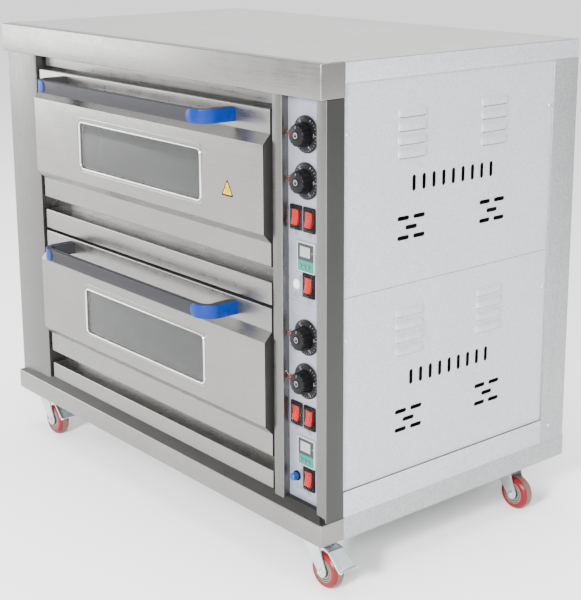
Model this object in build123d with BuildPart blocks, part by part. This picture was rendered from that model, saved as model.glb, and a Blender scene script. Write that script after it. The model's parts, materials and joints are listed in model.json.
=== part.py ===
from build123d import *
from math import cos, sin, radians
import os

os.makedirs("parts", exist_ok=True)

# A two-deck electric bakery oven on casters: a sheet-metal cabinet that holds two separate baking
# chambers one above the other, each with a drop-down glazed door, its own heat controls and timer.
# Millimetres, +Z up, -Y is the front. The origin is at the floor, under the middle of the whole
# outline: the handles reach forward of the cabinet and the brake pedals reach past its right side.

# ---- driving dimensions -------------------------------------------------------------------------
# cabinet
width = 1220.0
depth = 740.0
tray_height = 48.0
canopy_height = 68.0
header_drop = 35.0           # canopy underside to the top of the upper door
deck_pitch = 404.0
deck_count = 2
sheet = 1.5
seam = 0.5                   # hairline gap between two panels that meet edge to edge

# front: widths from left to right, and how far each plane stands behind the canopy's front
left_pillar_width = 138.0
stile_width = 30.0
control_width = 102.0
right_pillar_width = 30.0
pillar_setback = 14.0
panel_setback = 31.0
header_setback = 37.0
ledge_setback = 20.0
mouth_setback = 62.0
side_return = 60.0           # how far the stainless front wraps round each side
sill_rise = 16.0

# doors
door_height = 318.0
door_side_gap = 11.0
door_foot_gap = 32.0         # under the door, above the ledge
door_head_gap = 6.0          # over the door, up to the ledge or header above
door_setback = 19.0          # the door's flat plane
boss_proud = 18.5            # the raised middle stands out from the flat plane
boss_bevel = 20.0            # height of the sloped band above and below the raised middle
boss_top_drop = 49.0         # flat strip above the raised middle
boss_foot_rise = 49.0        # flat strip below it
skin_depth = 26.0            # folded edge of the door's outer sheet
liner_depth = 15.0           # the inner pan stands behind the outer sheet by this much
window_width = 478.0
window_height = 107.0
window_corner = 10.0
glass_thickness = 4.0
glass_lap = 12.0
bead_proud = 1.5
bead_width = 8.0
hinge_rise = 8.0             # hinge axis above the door's lower edge
hinge_setback = 40.0
hinge_pin_radius = 4.0
pin_clearance = 0.08
body_clearance = 0.3

# handles
handle_span = 678.0
handle_reach = 84.0          # door's flat plane to the front of the grip
handle_height = 28.0
handle_thickness = 15.0
handle_corner = 45.0
handle_drop = 22.0           # door's top edge to the handle's centre line
cap_height = 32.0
cap_thickness = 3.0
cap_run = 12.0               # how far each cap reaches along the grip past its corner
cap_play = 0.1
cap_lip = 4.0                # cap's fold over the back of the grip

# baking chamber
chamber_width = 860.0
chamber_rear_gap = 56.5      # chamber's rear wall to the cabinet's back
chamber_foot = 12.0          # chamber floor above the door's lower edge
chamber_head = 22.0          # chamber ceiling below the door's top edge
hearth_lift = 30.0
hearth_thickness = 10.0
hearth_play = 2.0
rail_width = 15.0
element_radius = 4.0
element_count = 5
element_overhang = 6.0       # rods reach past the chamber's side walls

# controls, each height measured down from the top of that deck's door
knob_drops = (38.5, 129.0)
switch_drop = 205.0
timer_drop = 281.0
power_drop = 336.0
lamp_lift = -3.0
lamp_inset = 9.0             # from the stile to the lamp's centre
knob_inset = 55.0
switch_insets = (24.0, 64.0)
timer_inset = 51.0
power_inset = 62.0
button_inset = 24.0
button_drop = 340.0          # button's centre below the door's top edge
skirt_radius = 36.5
skirt_thickness = 3.0
knob_radius = 24.5
knob_length = 24.0
shaft_radius = 3.0
thermostat_size = 42.0
thermostat_depth = 34.0
lamp_radius = 8.5
lamp_proud = 9.0
flange_width = 31.0
flange_height = 47.0
flange_thickness = 2.0
switch_width = 25.0
switch_length = 38.0
switch_depth = 24.0
switch_wall = 2.5
rocker_throw = 14.0
cover_proud = 13.0
cover_wall = 1.2
timer_width = 46.0
timer_height = 60.0
timer_proud = 3.0
timer_depth = 26.0
key_radius = 3.6
key_pitch = 12.0
key_proud = 1.2
push_radius = 7.5
push_proud = 14.0
collar_radius = 9.5

# side and back panels
panel_recess = 4.0
panel_sheet = 1.2
skirt_height = 54.0
top_rail_height = 40.0
rear_post_run = 80.0
panel_split_lift = 50.0      # side panels split this far above the lower door's top edge
louvre_width = 76.0
louvre_height = 18.0
louvre_pitch = 27.0
louvre_rows = 4
louvre_proud = 3.6
louvre_shares = (0.326, 0.645)   # of the cabinet's depth, behind its front
louvre_top_drop = 6.0        # first louvre's centre below that deck's door top
slot_length = 30.0
slot_width = 7.0
slot_step = (22.0, 20.0)
slot_drop = 238.0
vent_row_drop = 150.0
vent_row_count = 9
vent_row_pitch = 28.0
vent_slot_width = 9.0
vent_slot_height = 32.0
screw_head_radius = 4.5
screw_head_height = 2.0
screw_radius = 2.0
screw_length = 8.0
grommet_bore_radius = 12.0

# casters
caster_height = 108.0
wheel_radius = 38.0
wheel_width = 28.0
wheel_bore_clearance = 0.1
caster_trail = 40.0
caster_inset = 70.0
front_caster_depth = 46.0
rear_caster_gap = 120.0      # rear swivel axes to the cabinet's back
axle_radius = 4.0
fork_sheet = 3.0
plate_length = 92.0
plate_width = 68.0
plate_thickness = 3.0
bolt_radius = 4.0
pedal_width = 38.0
pedal_reach = 108.0          # swivel axis to the pedal's tip

# ---- planes that several pieces share -----------------------------------------------------------
pedal_overhang = pedal_reach - caster_inset
back_proud = 2.0
left = -width / 2 - pedal_overhang / 2
right = left + width
handle_overhang = handle_reach - door_setback
front = -(depth + back_proud - handle_overhang) / 2
back = front + depth
z_tray = caster_height
z_floor = z_tray + tray_height
z_canopy = z_floor + header_drop + deck_count * deck_pitch
z_top = z_canopy + canopy_height
z_rail = z_top - top_rail_height

x_open = left + left_pillar_width
x_control_right = right - right_pillar_width
x_control_left = x_control_right - control_width
x_stile = x_control_left - stile_width
x_door = x_open + door_side_gap
door_width = x_stile - door_side_gap - x_door
x_mid = x_door + door_width / 2
y_pillar = front + pillar_setback
y_panel = front + panel_setback
y_mouth = front + mouth_setback
y_door = front + door_setback
y_side = front + side_return
y_post = back - rear_post_run
y_hinge = front + hinge_setback
y_skin_back = y_door + skin_depth
y_liner_back = y_skin_back + liner_depth
door_tops = [z_canopy - header_drop - i * deck_pitch for i in range(deck_count)]
deck_names = ["upper", "lower"]
x_chamber = x_mid - chamber_width / 2
y_cavity = y_mouth + sheet
y_chamber_back = back - chamber_rear_gap
chamber_depth = y_chamber_back - y_cavity


# ---- helpers: each works inside the part block that calls it -------------------------------------
def block(x0, x1, y0, y1, z0, z1, mode=Mode.ADD):
    """A box given by its corners."""
    with Locations(((x0 + x1) / 2, (y0 + y1) / 2, (z0 + z1) / 2)):
        Box(x1 - x0, y1 - y0, z1 - z0, mode=mode)


def shaft(centre, direction, radius, length, mode=Mode.ADD):
    """A cylinder that starts at centre and runs along direction."""
    with Locations(Plane(origin=centre, z_dir=direction)):
        Cylinder(radius, length, align=(Align.CENTER, Align.CENTER, Align.MIN), mode=mode)


def along_x(outline, x0, x1, mode=Mode.ADD):
    """A closed (y, z) outline carried from x0 to x1."""
    with BuildSketch(Plane.YZ.offset(x0)) as section:
        with BuildLine():
            Polyline(*outline, close=True)
        make_face()
    extrude(section.sketch, amount=x1 - x0, mode=mode)


def along_y(outline, y0, y1, mode=Mode.ADD):
    """A closed (x, z) outline carried from y0 to y1."""
    with BuildSketch(Plane(origin=(0, y1, 0), x_dir=(1, 0, 0), z_dir=(0, -1, 0))) as section:
        with BuildLine():
            Polyline(*outline, close=True)
        make_face()
    extrude(section.sketch, amount=y1 - y0, mode=mode)


def along_z(outline, z0, z1, mode=Mode.ADD):
    """A closed (x, y) outline carried from z0 to z1."""
    with BuildSketch(Plane.XY.offset(z0)) as section:
        with BuildLine():
            Polyline(*outline, close=True)
        make_face()
    extrude(section.sketch, amount=z1 - z0, mode=mode)


def finish(piece, label):
    """Label a finished piece and write it."""
    piece.part.label = label
    export_step(piece.part, f"parts/{label}.step")


# ---- base ----------------------------------------------------------------------------------------
caster_spots = {
    "front_left": (left + caster_inset, front + front_caster_depth),
    "front_right": (right - caster_inset, front + front_caster_depth),
    "rear_left": (left + caster_inset, back - rear_caster_gap),
    "rear_right": (right - caster_inset, back - rear_caster_gap),
}
bolt_steps = ((plate_length - 20) / 2, (plate_width - 20) / 2)
bolt_spots = [
    (x + sx * bolt_steps[0], y + sy * bolt_steps[1])
    for x, y in caster_spots.values() for sx in (-1, 1) for sy in (-1, 1)
]
sill_depth = mouth_setback
x_hip = x_open
canopy_fold = 22.0           # depth of the canopy's top fold, where the roof begins

with BuildPart() as front_fascias:
    # canopy: front face, short top fold, underside fold, and a wrap round each side
    block(left, right, front, y_side, z_canopy, z_top)
    block(left + sheet, right - sheet, front + sheet, y_side + 1, z_canopy + sheet, z_top - sheet,
          mode=Mode.SUBTRACT)
    block(left + sheet, right - sheet, front + canopy_fold, y_side + 1, z_top - 2 * sheet, z_top + 1,
          mode=Mode.SUBTRACT)
    # tray: front face and sloping sill with hipped ends
    with BuildSketch(Plane.YZ.offset(left)):
        with BuildLine():
            Polyline((front, z_tray), (front, z_floor), (front + ledge_setback, z_floor + sill_rise),
                     (front + sill_depth, z_floor + sill_rise), (front + sill_depth, z_floor),
                     (y_side, z_floor), (y_side, z_tray), close=True)
        make_face()
    extrude(amount=width)
    along_y([(left - 1, z_floor), (x_hip, z_floor + sill_rise + 1), (left - 1, z_floor + sill_rise + 1)],
            front - 1, y_mouth + 1, mode=Mode.SUBTRACT)
    along_y([(right + 1, z_floor), (x_control_right, z_floor + sill_rise + 1),
             (right + 1, z_floor + sill_rise + 1)], front - 1, y_mouth + 1, mode=Mode.SUBTRACT)
    block(left + sheet, right - sheet, front + sheet, y_mouth + 1, z_tray - 1, z_floor - sheet,
          mode=Mode.SUBTRACT)
finish(front_fascias, "front_fascias")

channel_margin = 8.0         # flat rail's width past a caster plate, on each side
web_inset = 2.0              # web's centre inside the flat rail's edge
web_sheet = 4.0
bolt_play = 0.2
with BuildPart() as base_tray:
    block(left, right, y_side + seam, back, z_tray, z_floor)
    block(left + 2 * sheet, right - 2 * sheet, y_side, back - 2 * sheet, z_tray - 1, z_floor - 2 * sheet,
          mode=Mode.SUBTRACT)
    # a flat rail runs front to back on each side for the caster plates
    for x in (left + caster_inset, right - caster_inset):
        half_rail = plate_length / 2 + channel_margin
        block(x - half_rail, x + half_rail, front + sheet, back - 2 * sheet, z_tray,
              z_tray + plate_thickness)
        for side in (-1, 1):
            edge = x + side * (half_rail - web_inset)
            block(edge - web_sheet / 2, edge + web_sheet / 2, front + sheet, back - 2 * sheet, z_tray,
                  z_floor - sheet)
    for x, y in bolt_spots:
        shaft((x, y, z_tray - 1), (0, 0, 1), bolt_radius + bolt_play, plate_thickness + 2,
              mode=Mode.SUBTRACT)
finish(base_tray, "base_tray")


# ---- pillars, stile and canopy -------------------------------------------------------------------
step = panel_recess + panel_sheet
flange_run = 20.0
screw_edge = 8.0             # from a side panel's front or rear edge to its screws
panel_screw_drop = 34.0      # below that deck's door top
screw_play = 0.2
y_panel_front = y_side + seam
y_panel_rear = y_post - seam
panel_screw_ys = (y_panel_front + screw_edge, y_panel_rear - screw_edge)
flush_radius = 4.0
flush_thickness = 1.4
roof_screw_inset = 22.0
roof_screw_shares = (0.061, 0.426, 0.811)   # of the cabinet's depth
roof_screw_depths = [depth * share for share in roof_screw_shares]
post_screw = (y_post + 25.0, z_floor + 36.0)


def panel_screw_holes():
    """Clearance for the shanks of the side panels' screws, across both sides."""
    for x in (left + panel_recess, right - panel_recess):
        for door_top in door_tops:
            for y in panel_screw_ys:
                shaft((x - screw_length - 2, y, door_top - panel_screw_drop), (1, 0, 0),
                      screw_radius + screw_play, 2 * screw_length + 4, mode=Mode.SUBTRACT)


with BuildPart() as front_pillars:
    along_z([(left, y_pillar), (x_open, y_pillar), (x_open, y_mouth), (x_open - sheet, y_mouth),
             (x_open - sheet, y_pillar + sheet), (left + sheet, y_pillar + sheet),
             (left + sheet, y_side - sheet), (left + step + sheet, y_side - sheet),
             (left + step + sheet, y_side + flange_run), (left + step, y_side + flange_run),
             (left + step, y_side), (left, y_side)], z_floor, z_canopy)
    along_z([(right, y_pillar), (x_control_right, y_pillar), (x_control_right, y_panel + sheet),
             (x_control_right + sheet, y_panel + sheet), (x_control_right + sheet, y_pillar + sheet),
             (right - sheet, y_pillar + sheet), (right - sheet, y_side - sheet),
             (right - step - sheet, y_side - sheet), (right - step - sheet, y_side + flange_run),
             (right - step, y_side + flange_run), (right - step, y_side), (right, y_side)],
            z_floor, z_canopy)
    add(front_fascias.part, mode=Mode.SUBTRACT)
    panel_screw_holes()
finish(front_pillars, "front_pillars")

with BuildPart() as centre_stile:
    along_z([(x_stile, y_pillar), (x_control_left, y_pillar), (x_control_left, y_panel + sheet),
             (x_control_left - sheet, y_panel + sheet), (x_control_left - sheet, y_pillar + sheet),
             (x_stile + sheet, y_pillar + sheet), (x_stile + sheet, y_mouth), (x_stile, y_mouth)],
            z_floor + sill_rise, z_canopy)
finish(centre_stile, "centre_stile")

with BuildPart() as roof_panel:
    block(left, right, front + canopy_fold + seam, back, z_top - sheet, z_top)
    # a stiffening fold hangs from the back edge
    block(left + 2 * sheet, right - 2 * sheet, back - sheet, back, z_rail, z_top)
    add(front_fascias.part, mode=Mode.SUBTRACT)
    for x in (left + roof_screw_inset, right - roof_screw_inset):
        for run in roof_screw_depths:
            shaft((x, front + run, z_top + 1), (0, 0, -1), flush_radius + screw_play, 2 * sheet + 1,
                  mode=Mode.SUBTRACT)
finish(roof_panel, "roof_panel")

rail_lip = 25.0              # inward fold at the foot of each rail
post_back_flange = 60.0
with BuildPart() as side_rails:
    for x_out, x_in in ((left, left + sheet), (right, right - sheet)):
        inward = 1 if x_in > x_out else -1
        lip = x_out + inward * rail_lip
        x0, x1 = sorted((x_out, x_in))
        l0, l1 = sorted((x_out, lip))
        # top rail under the roof's edge, folded inwards at its foot
        block(x0, x1, y_side + seam, back - 2 * sheet, z_rail, z_top - sheet)
        block(l0, l1, y_side + seam, back - 2 * sheet, z_rail, z_rail + sheet)
        # skirt above the tray
        block(x0, x1, y_side + seam, y_post - seam, z_floor, z_floor + skirt_height)
        block(l0, l1, y_side + seam, y_post - seam, z_floor, z_floor + sheet)
    add(front_fascias.part, mode=Mode.SUBTRACT)
    # slots cleared round the pillars' screw flanges
    for x in (left + step, right - step - sheet):
        block(x - body_clearance, x + sheet + body_clearance, y_side - 1,
              y_side + flange_run + body_clearance, z_floor - 1, z_rail - 1, mode=Mode.SUBTRACT)
finish(side_rails, "side_rails")

with BuildPart() as rear_posts:
    for x_out, inward in ((left, 1), (right, -1)):
        x_in = x_out + inward * sheet
        x_step = x_out + inward * step
        x_lip = x_step + inward * sheet
        x_flange = x_out + inward * post_back_flange
        along_z([(x_out, y_post), (x_step, y_post), (x_step, y_post - flange_run),
                 (x_lip, y_post - flange_run), (x_lip, y_post + sheet), (x_in, y_post + sheet),
                 (x_in, back - 3 * sheet), (x_flange, back - 3 * sheet), (x_flange, back - 2 * sheet),
                 (x_out, back - 2 * sheet)],
                z_floor, z_rail - body_clearance)
        # the skirt's fold runs under the post's screw flange
        s0, s1 = sorted((x_step, x_lip))
        block(s0 - 1, s1 + 1, y_post - flange_run - 1, y_post - body_clearance, z_floor - 1,
              z_floor + sheet + body_clearance, mode=Mode.SUBTRACT)
        shaft((x_out - inward, *post_screw), (inward, 0, 0), flush_radius + screw_play, 3 * sheet,
              mode=Mode.SUBTRACT)
    panel_screw_holes()
finish(rear_posts, "rear_posts")

# ---- side panels ---------------------------------------------------------------------------------
z_panel_low = z_floor + skirt_height + seam
z_split = door_tops[0] - deck_pitch + panel_split_lift
z_panel_high = z_rail - seam


def louvre(x_face, outward, y, z):
    """One pressed louvre: a sloped hood that stands out of the sheet, open below."""
    tip = x_face + outward * louvre_proud
    with BuildSketch(Plane.XZ.offset(-(y - louvre_width / 2))) as hood:
        with BuildLine():
            Polyline((x_face, z + louvre_height / 2), (tip, z - louvre_height / 2 + 3),
                     (tip, z - louvre_height / 2), (x_face, z - louvre_height / 2), close=True)
        make_face()
    extrude(hood.sketch, amount=-louvre_width)


def slot(y, z, run, high, x_face):
    """An oblong hole through a side panel, round at both ends."""
    with BuildSketch(Plane(origin=(x_face, y, z), x_dir=(0, 1, 0), z_dir=(1, 0, 0))) as hole:
        SlotOverall(max(run, high), min(run, high), rotation=0 if run > high else 90)
    extrude(hole.sketch, amount=3 * step, both=True, mode=Mode.SUBTRACT)


louvre_columns = [depth * share for share in louvre_shares]
vent_row_depth = sum(louvre_columns) / 2
with BuildPart() as side_panels:
    for x_face, outward in ((left + panel_recess, -1), (right - panel_recess, 1)):
        x0, x1 = sorted((x_face, x_face - outward * panel_sheet))
        block(x0, x1, y_panel_front, y_panel_rear, z_panel_low, z_split - seam / 2)
        block(x0, x1, y_panel_front, y_panel_rear, z_split + seam / 2, z_panel_high)
        for door_top in door_tops:
            for column in louvre_columns:
                for row in range(louvre_rows):
                    z = door_top - louvre_top_drop - row * louvre_pitch
                    louvre(x_face, outward, front + column, z)
                    block(x_face - 2, x_face + 2, front + column - louvre_width / 2 + 3,
                          front + column + louvre_width / 2 - 3, z - louvre_height / 2 - 3,
                          z - louvre_height / 2, mode=Mode.SUBTRACT)
                for across, up in ((-1, 1), (1, 1), (0, 0), (-1, -1), (1, -1)):
                    slot(front + column + across * slot_step[0], door_top - slot_drop + up * slot_step[1],
                         slot_length, slot_width, x_face)
            for i in range(vent_row_count):
                y = front + vent_row_depth + (i - (vent_row_count - 1) / 2) * vent_row_pitch
                slot(y, door_top - vent_row_drop, vent_slot_width, vent_slot_height, x_face)
    panel_screw_holes()
finish(side_panels, "side_panels")


# ---- deck fronts, chambers and what they hold ----------------------------------------------------
def cavity(door_top):
    """Floor and ceiling heights of the chamber behind the door whose top edge is at door_top."""
    return door_top - door_height + chamber_foot, door_top - chamber_head


frame_lap = 20.0             # deck front's lap behind the pillar and the stile
with BuildPart() as deck_fronts:
    for i, door_top in enumerate(door_tops):
        z_low, z_high = cavity(door_top)
        z_ledge = door_top - door_height - door_foot_gap
        last = i == deck_count - 1
        z_foot = z_floor if last else door_tops[i + 1] + door_head_gap
        z_strip = z_floor + sill_rise if last else z_foot
        z_head = z_canopy if i == 0 else door_top + door_head_gap - seam
        x0, x1 = x_door, x_door + door_width
        block(x_open - frame_lap, x_stile + frame_lap, y_mouth, y_mouth + sheet, z_foot, z_head)
        block(x_chamber, x_chamber + chamber_width, y_mouth - 1, y_mouth + sheet + 1, z_low, z_high,
              mode=Mode.SUBTRACT)
        # ledge below the door
        block(x0, x1, front + ledge_setback, y_mouth, z_ledge - sheet, z_ledge)
        block(x0, x1, front + ledge_setback, front + ledge_setback + sheet, z_strip, z_ledge)
        if not last:
            block(x0, x1, front + ledge_setback, y_mouth, z_strip, z_strip + sheet)
        if i == 0:
            y_header = front + header_setback
            z_header = door_top + door_head_gap
            block(x0, x1, y_header, y_header + sheet, z_header, z_canopy)
            block(x0, x1, y_header, y_mouth, z_header, z_header + sheet)
finish(deck_fronts, "deck_fronts")

element_ys = [
    y_cavity + chamber_depth * (i + 0.5) / element_count for i in range(element_count)
]
element_drop = 14.0          # upper rods hang this far under the ceiling


def element_heights(door_top):
    """Heights of the lower and the upper row of heating rods."""
    z_low, z_high = cavity(door_top)
    return z_low + hearth_lift / 2, z_high - element_drop


for name, door_top in zip(deck_names, door_tops):
    z_low, z_high = cavity(door_top)
    x0, x1 = x_chamber, x_chamber + chamber_width
    with BuildPart() as chamber:
        block(x0 - sheet, x1 + sheet, y_cavity, y_chamber_back + sheet, z_low - sheet, z_high + sheet)
        block(x0, x1, y_cavity - 1, y_chamber_back, z_low, z_high, mode=Mode.SUBTRACT)
        # angle rails along both sides carry the hearth plate
        for edge, inward in ((x0, 1), (x1, -1)):
            a, b = sorted((edge, edge + inward * rail_width))
            block(a, b, y_cavity, y_chamber_back, z_low + hearth_lift - 2 * sheet, z_low + hearth_lift)
        for z in element_heights(door_top):
            for y in element_ys:
                shaft((x0 - 5, y, z), (1, 0, 0), element_radius + body_clearance, chamber_width + 10,
                      mode=Mode.SUBTRACT)
    finish(chamber, f"{name}_chamber")

with BuildPart() as hearth_plates:
    for door_top in door_tops:
        z_low, z_high = cavity(door_top)
        block(x_chamber + hearth_play, x_chamber + chamber_width - hearth_play, y_cavity + hearth_play,
              y_chamber_back - hearth_play, z_low + hearth_lift, z_low + hearth_lift + hearth_thickness)
finish(hearth_plates, "hearth_plates")

with BuildPart() as heating_elements:
    for door_top in door_tops:
        for z in element_heights(door_top):
            for y in element_ys:
                shaft((x_chamber - sheet - element_overhang, y, z), (1, 0, 0), element_radius,
                      chamber_width + 2 * (sheet + element_overhang))
finish(heating_elements, "heating_elements")

with BuildPart() as insulation:
    gap = 0.5
    x0, x1 = x_chamber - sheet, x_chamber + chamber_width + sheet
    x_wool0 = left + panel_recess + screw_length + 1
    x_wool1 = x_stile + 18
    y0, y1 = y_cavity + gap, y_chamber_back + sheet
    y_wool = back - 5 * sheet
    z0, z1 = z_floor + gap, z_rail
    # one blanket on each side, one behind, and slabs above, between and below the chambers
    block(x_wool0, x0 - element_overhang - gap, y0, y1, z0 + sheet, z1)
    block(x1 + element_overhang + gap, x_wool1, y0, y1, z0 + sheet, z1)
    block(x_wool0 + 60, x_wool1, y1 + gap, y_wool, z0, z1)
    levels = [z_top - 2 * sheet - gap]
    for door_top in door_tops:
        z_low, z_high = cavity(door_top)
        levels += [z_high + sheet + gap, z_low - sheet - gap]
    levels.append(z0)
    for z_up, z_down in zip(levels[0::2], levels[1::2]):
        block(x0, x1, y0, y1, z_down, z_up)
finish(insulation, "insulation")

# ---- doors ---------------------------------------------------------------------------------------
y_boss = y_door - boss_proud


def window(y, length, grow=0.0, mode=Mode.SUBTRACT, corner=window_corner, z_mid=0.0):
    """The rounded window outline, grown all round, carried back from y by length."""
    with BuildSketch(Plane(origin=(x_mid, y, z_mid), x_dir=(1, 0, 0), z_dir=(0, -1, 0))) as outline:
        RectangleRounded(window_width + 2 * grow, window_height + 2 * grow, corner + grow)
    extrude(outline.sketch, amount=-length, mode=mode)


def hinge_holes(z_hinge, radius, length):
    """A hole for the hinge pin in each end of the door."""
    shaft((x_door - 1, y_hinge, z_hinge), (1, 0, 0), radius, length + 1, mode=Mode.SUBTRACT)
    shaft((x_door + door_width + 1, y_hinge, z_hinge), (-1, 0, 0), radius, length + 1,
          mode=Mode.SUBTRACT)


pin_reach = 12.0             # pin's length inside the door
boss_run = 16.0              # hinge boss inside each end of the door
pan_gap = 0.2
for name, door_top in zip(deck_names, door_tops):
    z0, z1 = door_top - door_height, door_top
    z_mid = (z0 + boss_foot_rise + z1 - boss_top_drop) / 2
    z_hinge = z0 + hinge_rise
    x0, x1 = x_door, x_door + door_width
    with BuildPart() as skin:
        outline = [(y_skin_back, z1), (y_door, z1), (y_door, z1 - boss_top_drop),
                   (y_boss, z1 - boss_top_drop - boss_bevel), (y_boss, z0 + boss_foot_rise + boss_bevel),
                   (y_door, z0 + boss_foot_rise), (y_door, z0), (y_skin_back, z0)]
        along_x(outline, x0, x1)
        with BuildSketch(Plane.YZ.offset(x0 + sheet)) as hollow:
            with BuildLine():
                Polyline((y_skin_back + 20, z1), *outline[1:-1], (y_skin_back + 20, z0), close=True)
            make_face()
            offset(amount=-sheet, kind=Kind.INTERSECTION)
        extrude(hollow.sketch, amount=door_width - 2 * sheet, mode=Mode.SUBTRACT)
        window(y_boss - bead_proud, bead_proud + sheet, grow=bead_width, mode=Mode.ADD, z_mid=z_mid)
        window(y_boss - 2 * bead_proud, 2 * bead_proud + 3 * sheet, z_mid=z_mid)
        hinge_holes(z_hinge, hinge_pin_radius + 2 * body_clearance, boss_run)
    finish(skin, f"{name}_door_skin")

    y_pane = y_boss + sheet + pan_gap
    y_tunnel = y_pane + glass_thickness + pan_gap
    y_back_pane = y_liner_back - sheet - pan_gap - glass_thickness
    inset = sheet + pan_gap
    with BuildPart() as liner:
        block(x0 + inset, x1 - inset, y_door + 8, y_liner_back, z0 + inset, z1 - inset)
        block(x0 + inset + sheet, x1 - inset - sheet, y_door + 7, y_liner_back - sheet,
              z0 + inset + sheet, z1 - inset - sheet, mode=Mode.SUBTRACT)
        # tunnel between the two panes
        window(y_tunnel, y_liner_back - y_tunnel, grow=glass_lap + sheet, mode=Mode.ADD, z_mid=z_mid)
        window(y_tunnel - 1, y_liner_back - sheet - y_tunnel + 1, grow=glass_lap, z_mid=z_mid)
        window(y_liner_back - 2 * sheet, 3 * sheet, z_mid=z_mid)
        for a in (x0 + inset, x1 - inset - boss_run):
            block(a, a + boss_run, y_door + 10, y_liner_back, z0 + inset, z0 + 2 * hinge_rise)
        hinge_holes(z_hinge, hinge_pin_radius + pin_clearance, pin_reach + 2)
    finish(liner, f"{name}_door_liner")

    with BuildPart() as glass:
        window(y_pane, glass_thickness, grow=glass_lap - pan_gap, mode=Mode.ADD, z_mid=z_mid)
        window(y_back_pane, glass_thickness, grow=glass_lap - pan_gap, mode=Mode.ADD, z_mid=z_mid)
    finish(glass, f"{name}_door_glass")

    # handle: a bowed plastic grip with a cap over each corner
    z_grip = door_top - handle_drop
    cap_zone = handle_span / 2 - handle_corner - cap_run

    def bow(inset, z_low, z_high, mode):
        """The handle's outer shape in plan, set in all round, between two heights."""
        run = handle_reach - inset
        plane = Plane.XY.offset(z_low)
        with BuildSketch(plane) as shape:
            with Locations((x_mid, y_door - run / 2)):
                Rectangle(handle_span - 2 * inset, run)
            fillet(shape.vertices().group_by(Axis.Y)[0], handle_corner - inset)
        extrude(shape.sketch, amount=z_high - z_low, mode=mode)

    half = handle_height / 2
    cap_half = cap_height / 2
    with BuildPart() as handle:
        bow(0, z_grip - half, z_grip + half, Mode.ADD)
        bow(handle_thickness, z_grip - half - 1, z_grip + half + 1, Mode.SUBTRACT)
        for side in (-1, 1):
            a, b = sorted((x_mid + side * cap_zone, x_mid + side * (handle_span / 2 + 1)))
            block(a, b, y_door - handle_reach - 1, y_door, z_grip - half, z_grip + half, Mode.SUBTRACT)
    with BuildPart() as grip_ends:
        bow(cap_thickness + cap_play, z_grip - half, z_grip + half, Mode.ADD)
        bow(handle_thickness, z_grip - half - 1, z_grip + half + 1, Mode.SUBTRACT)
        block(x_mid - cap_zone, x_mid + cap_zone, y_door - handle_reach, y_door + 1, z_grip - half,
              z_grip + half, Mode.SUBTRACT)
    with BuildPart() as caps:
        bow(0, z_grip - cap_half, z_grip + cap_half, Mode.ADD)
        bow(cap_thickness, z_grip - half - cap_play, z_grip + half + cap_play, Mode.SUBTRACT)
        bow(handle_thickness - cap_lip, z_grip - cap_half - 1, z_grip + cap_half + 1, Mode.SUBTRACT)
        block(x_mid - cap_zone - cap_play, x_mid + cap_zone + cap_play, y_door - handle_reach - 1, y_door + 1,
              z_grip - cap_half - 1, z_grip + cap_half + 1, Mode.SUBTRACT)
    with BuildPart() as whole_handle:
        add(handle.part)
        add(grip_ends.part)
        add(caps.part)
    finish(whole_handle, f"{name}_door_handle")

bracket_gap = 4.0            # wall of the opening to the bracket
bracket_sheet = 3.0
bracket_nose = 9.0           # bracket's reach in front of the hinge axis
bracket_half_height = 11.0
with BuildPart() as hinge_brackets:
    for door_top in door_tops:
        z_hinge = door_top - door_height + hinge_rise
        for x_wall, inward in ((x_open + bracket_gap, 1), (x_stile - bracket_gap, -1)):
            a, b = sorted((x_wall, x_wall + inward * bracket_sheet))
            block(a, b, y_hinge - bracket_nose, y_mouth, z_hinge - bracket_half_height,
                  z_hinge + bracket_half_height)
            shaft((x_wall, y_hinge, z_hinge), (inward, 0, 0), hinge_pin_radius,
                  door_side_gap - bracket_gap + pin_reach)
finish(hinge_brackets, "hinge_brackets")


# ---- controls ------------------------------------------------------------------------------------
out = (0, -1, 0)             # towards the user
into = (0, 1, 0)             # into the cabinet
x_knob = x_control_left + knob_inset
x_lamp = x_control_left + lamp_inset
x_timer = x_control_left + timer_inset
x_power = x_control_left + power_inset
x_button = x_control_left + button_inset
y_rear = y_panel + sheet     # rear face of the control panel
z_panel_split = door_tops[0] - deck_pitch + header_drop - 5
shaft_hole = 5.0
lamp_body_radius = 6.0
collar_body_radius = 8.5
body_play = 0.3
screen_width, screen_height, screen_lift = 34.0, 26.0, 11.0
key_drop = 18.0


def switch_places(door_top):
    """Centres of the deck's three rocker switches: top heat, bottom heat, power."""
    places = [(x_control_left + inset, door_top - switch_drop) for inset in switch_insets]
    return places + [(x_power, door_top - power_drop)]


def key_places(door_top):
    """Centres of the three keys on the deck's timer."""
    return [(x_timer + i * key_pitch, door_top - timer_drop - key_drop) for i in (-1, 0, 1)]


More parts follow.
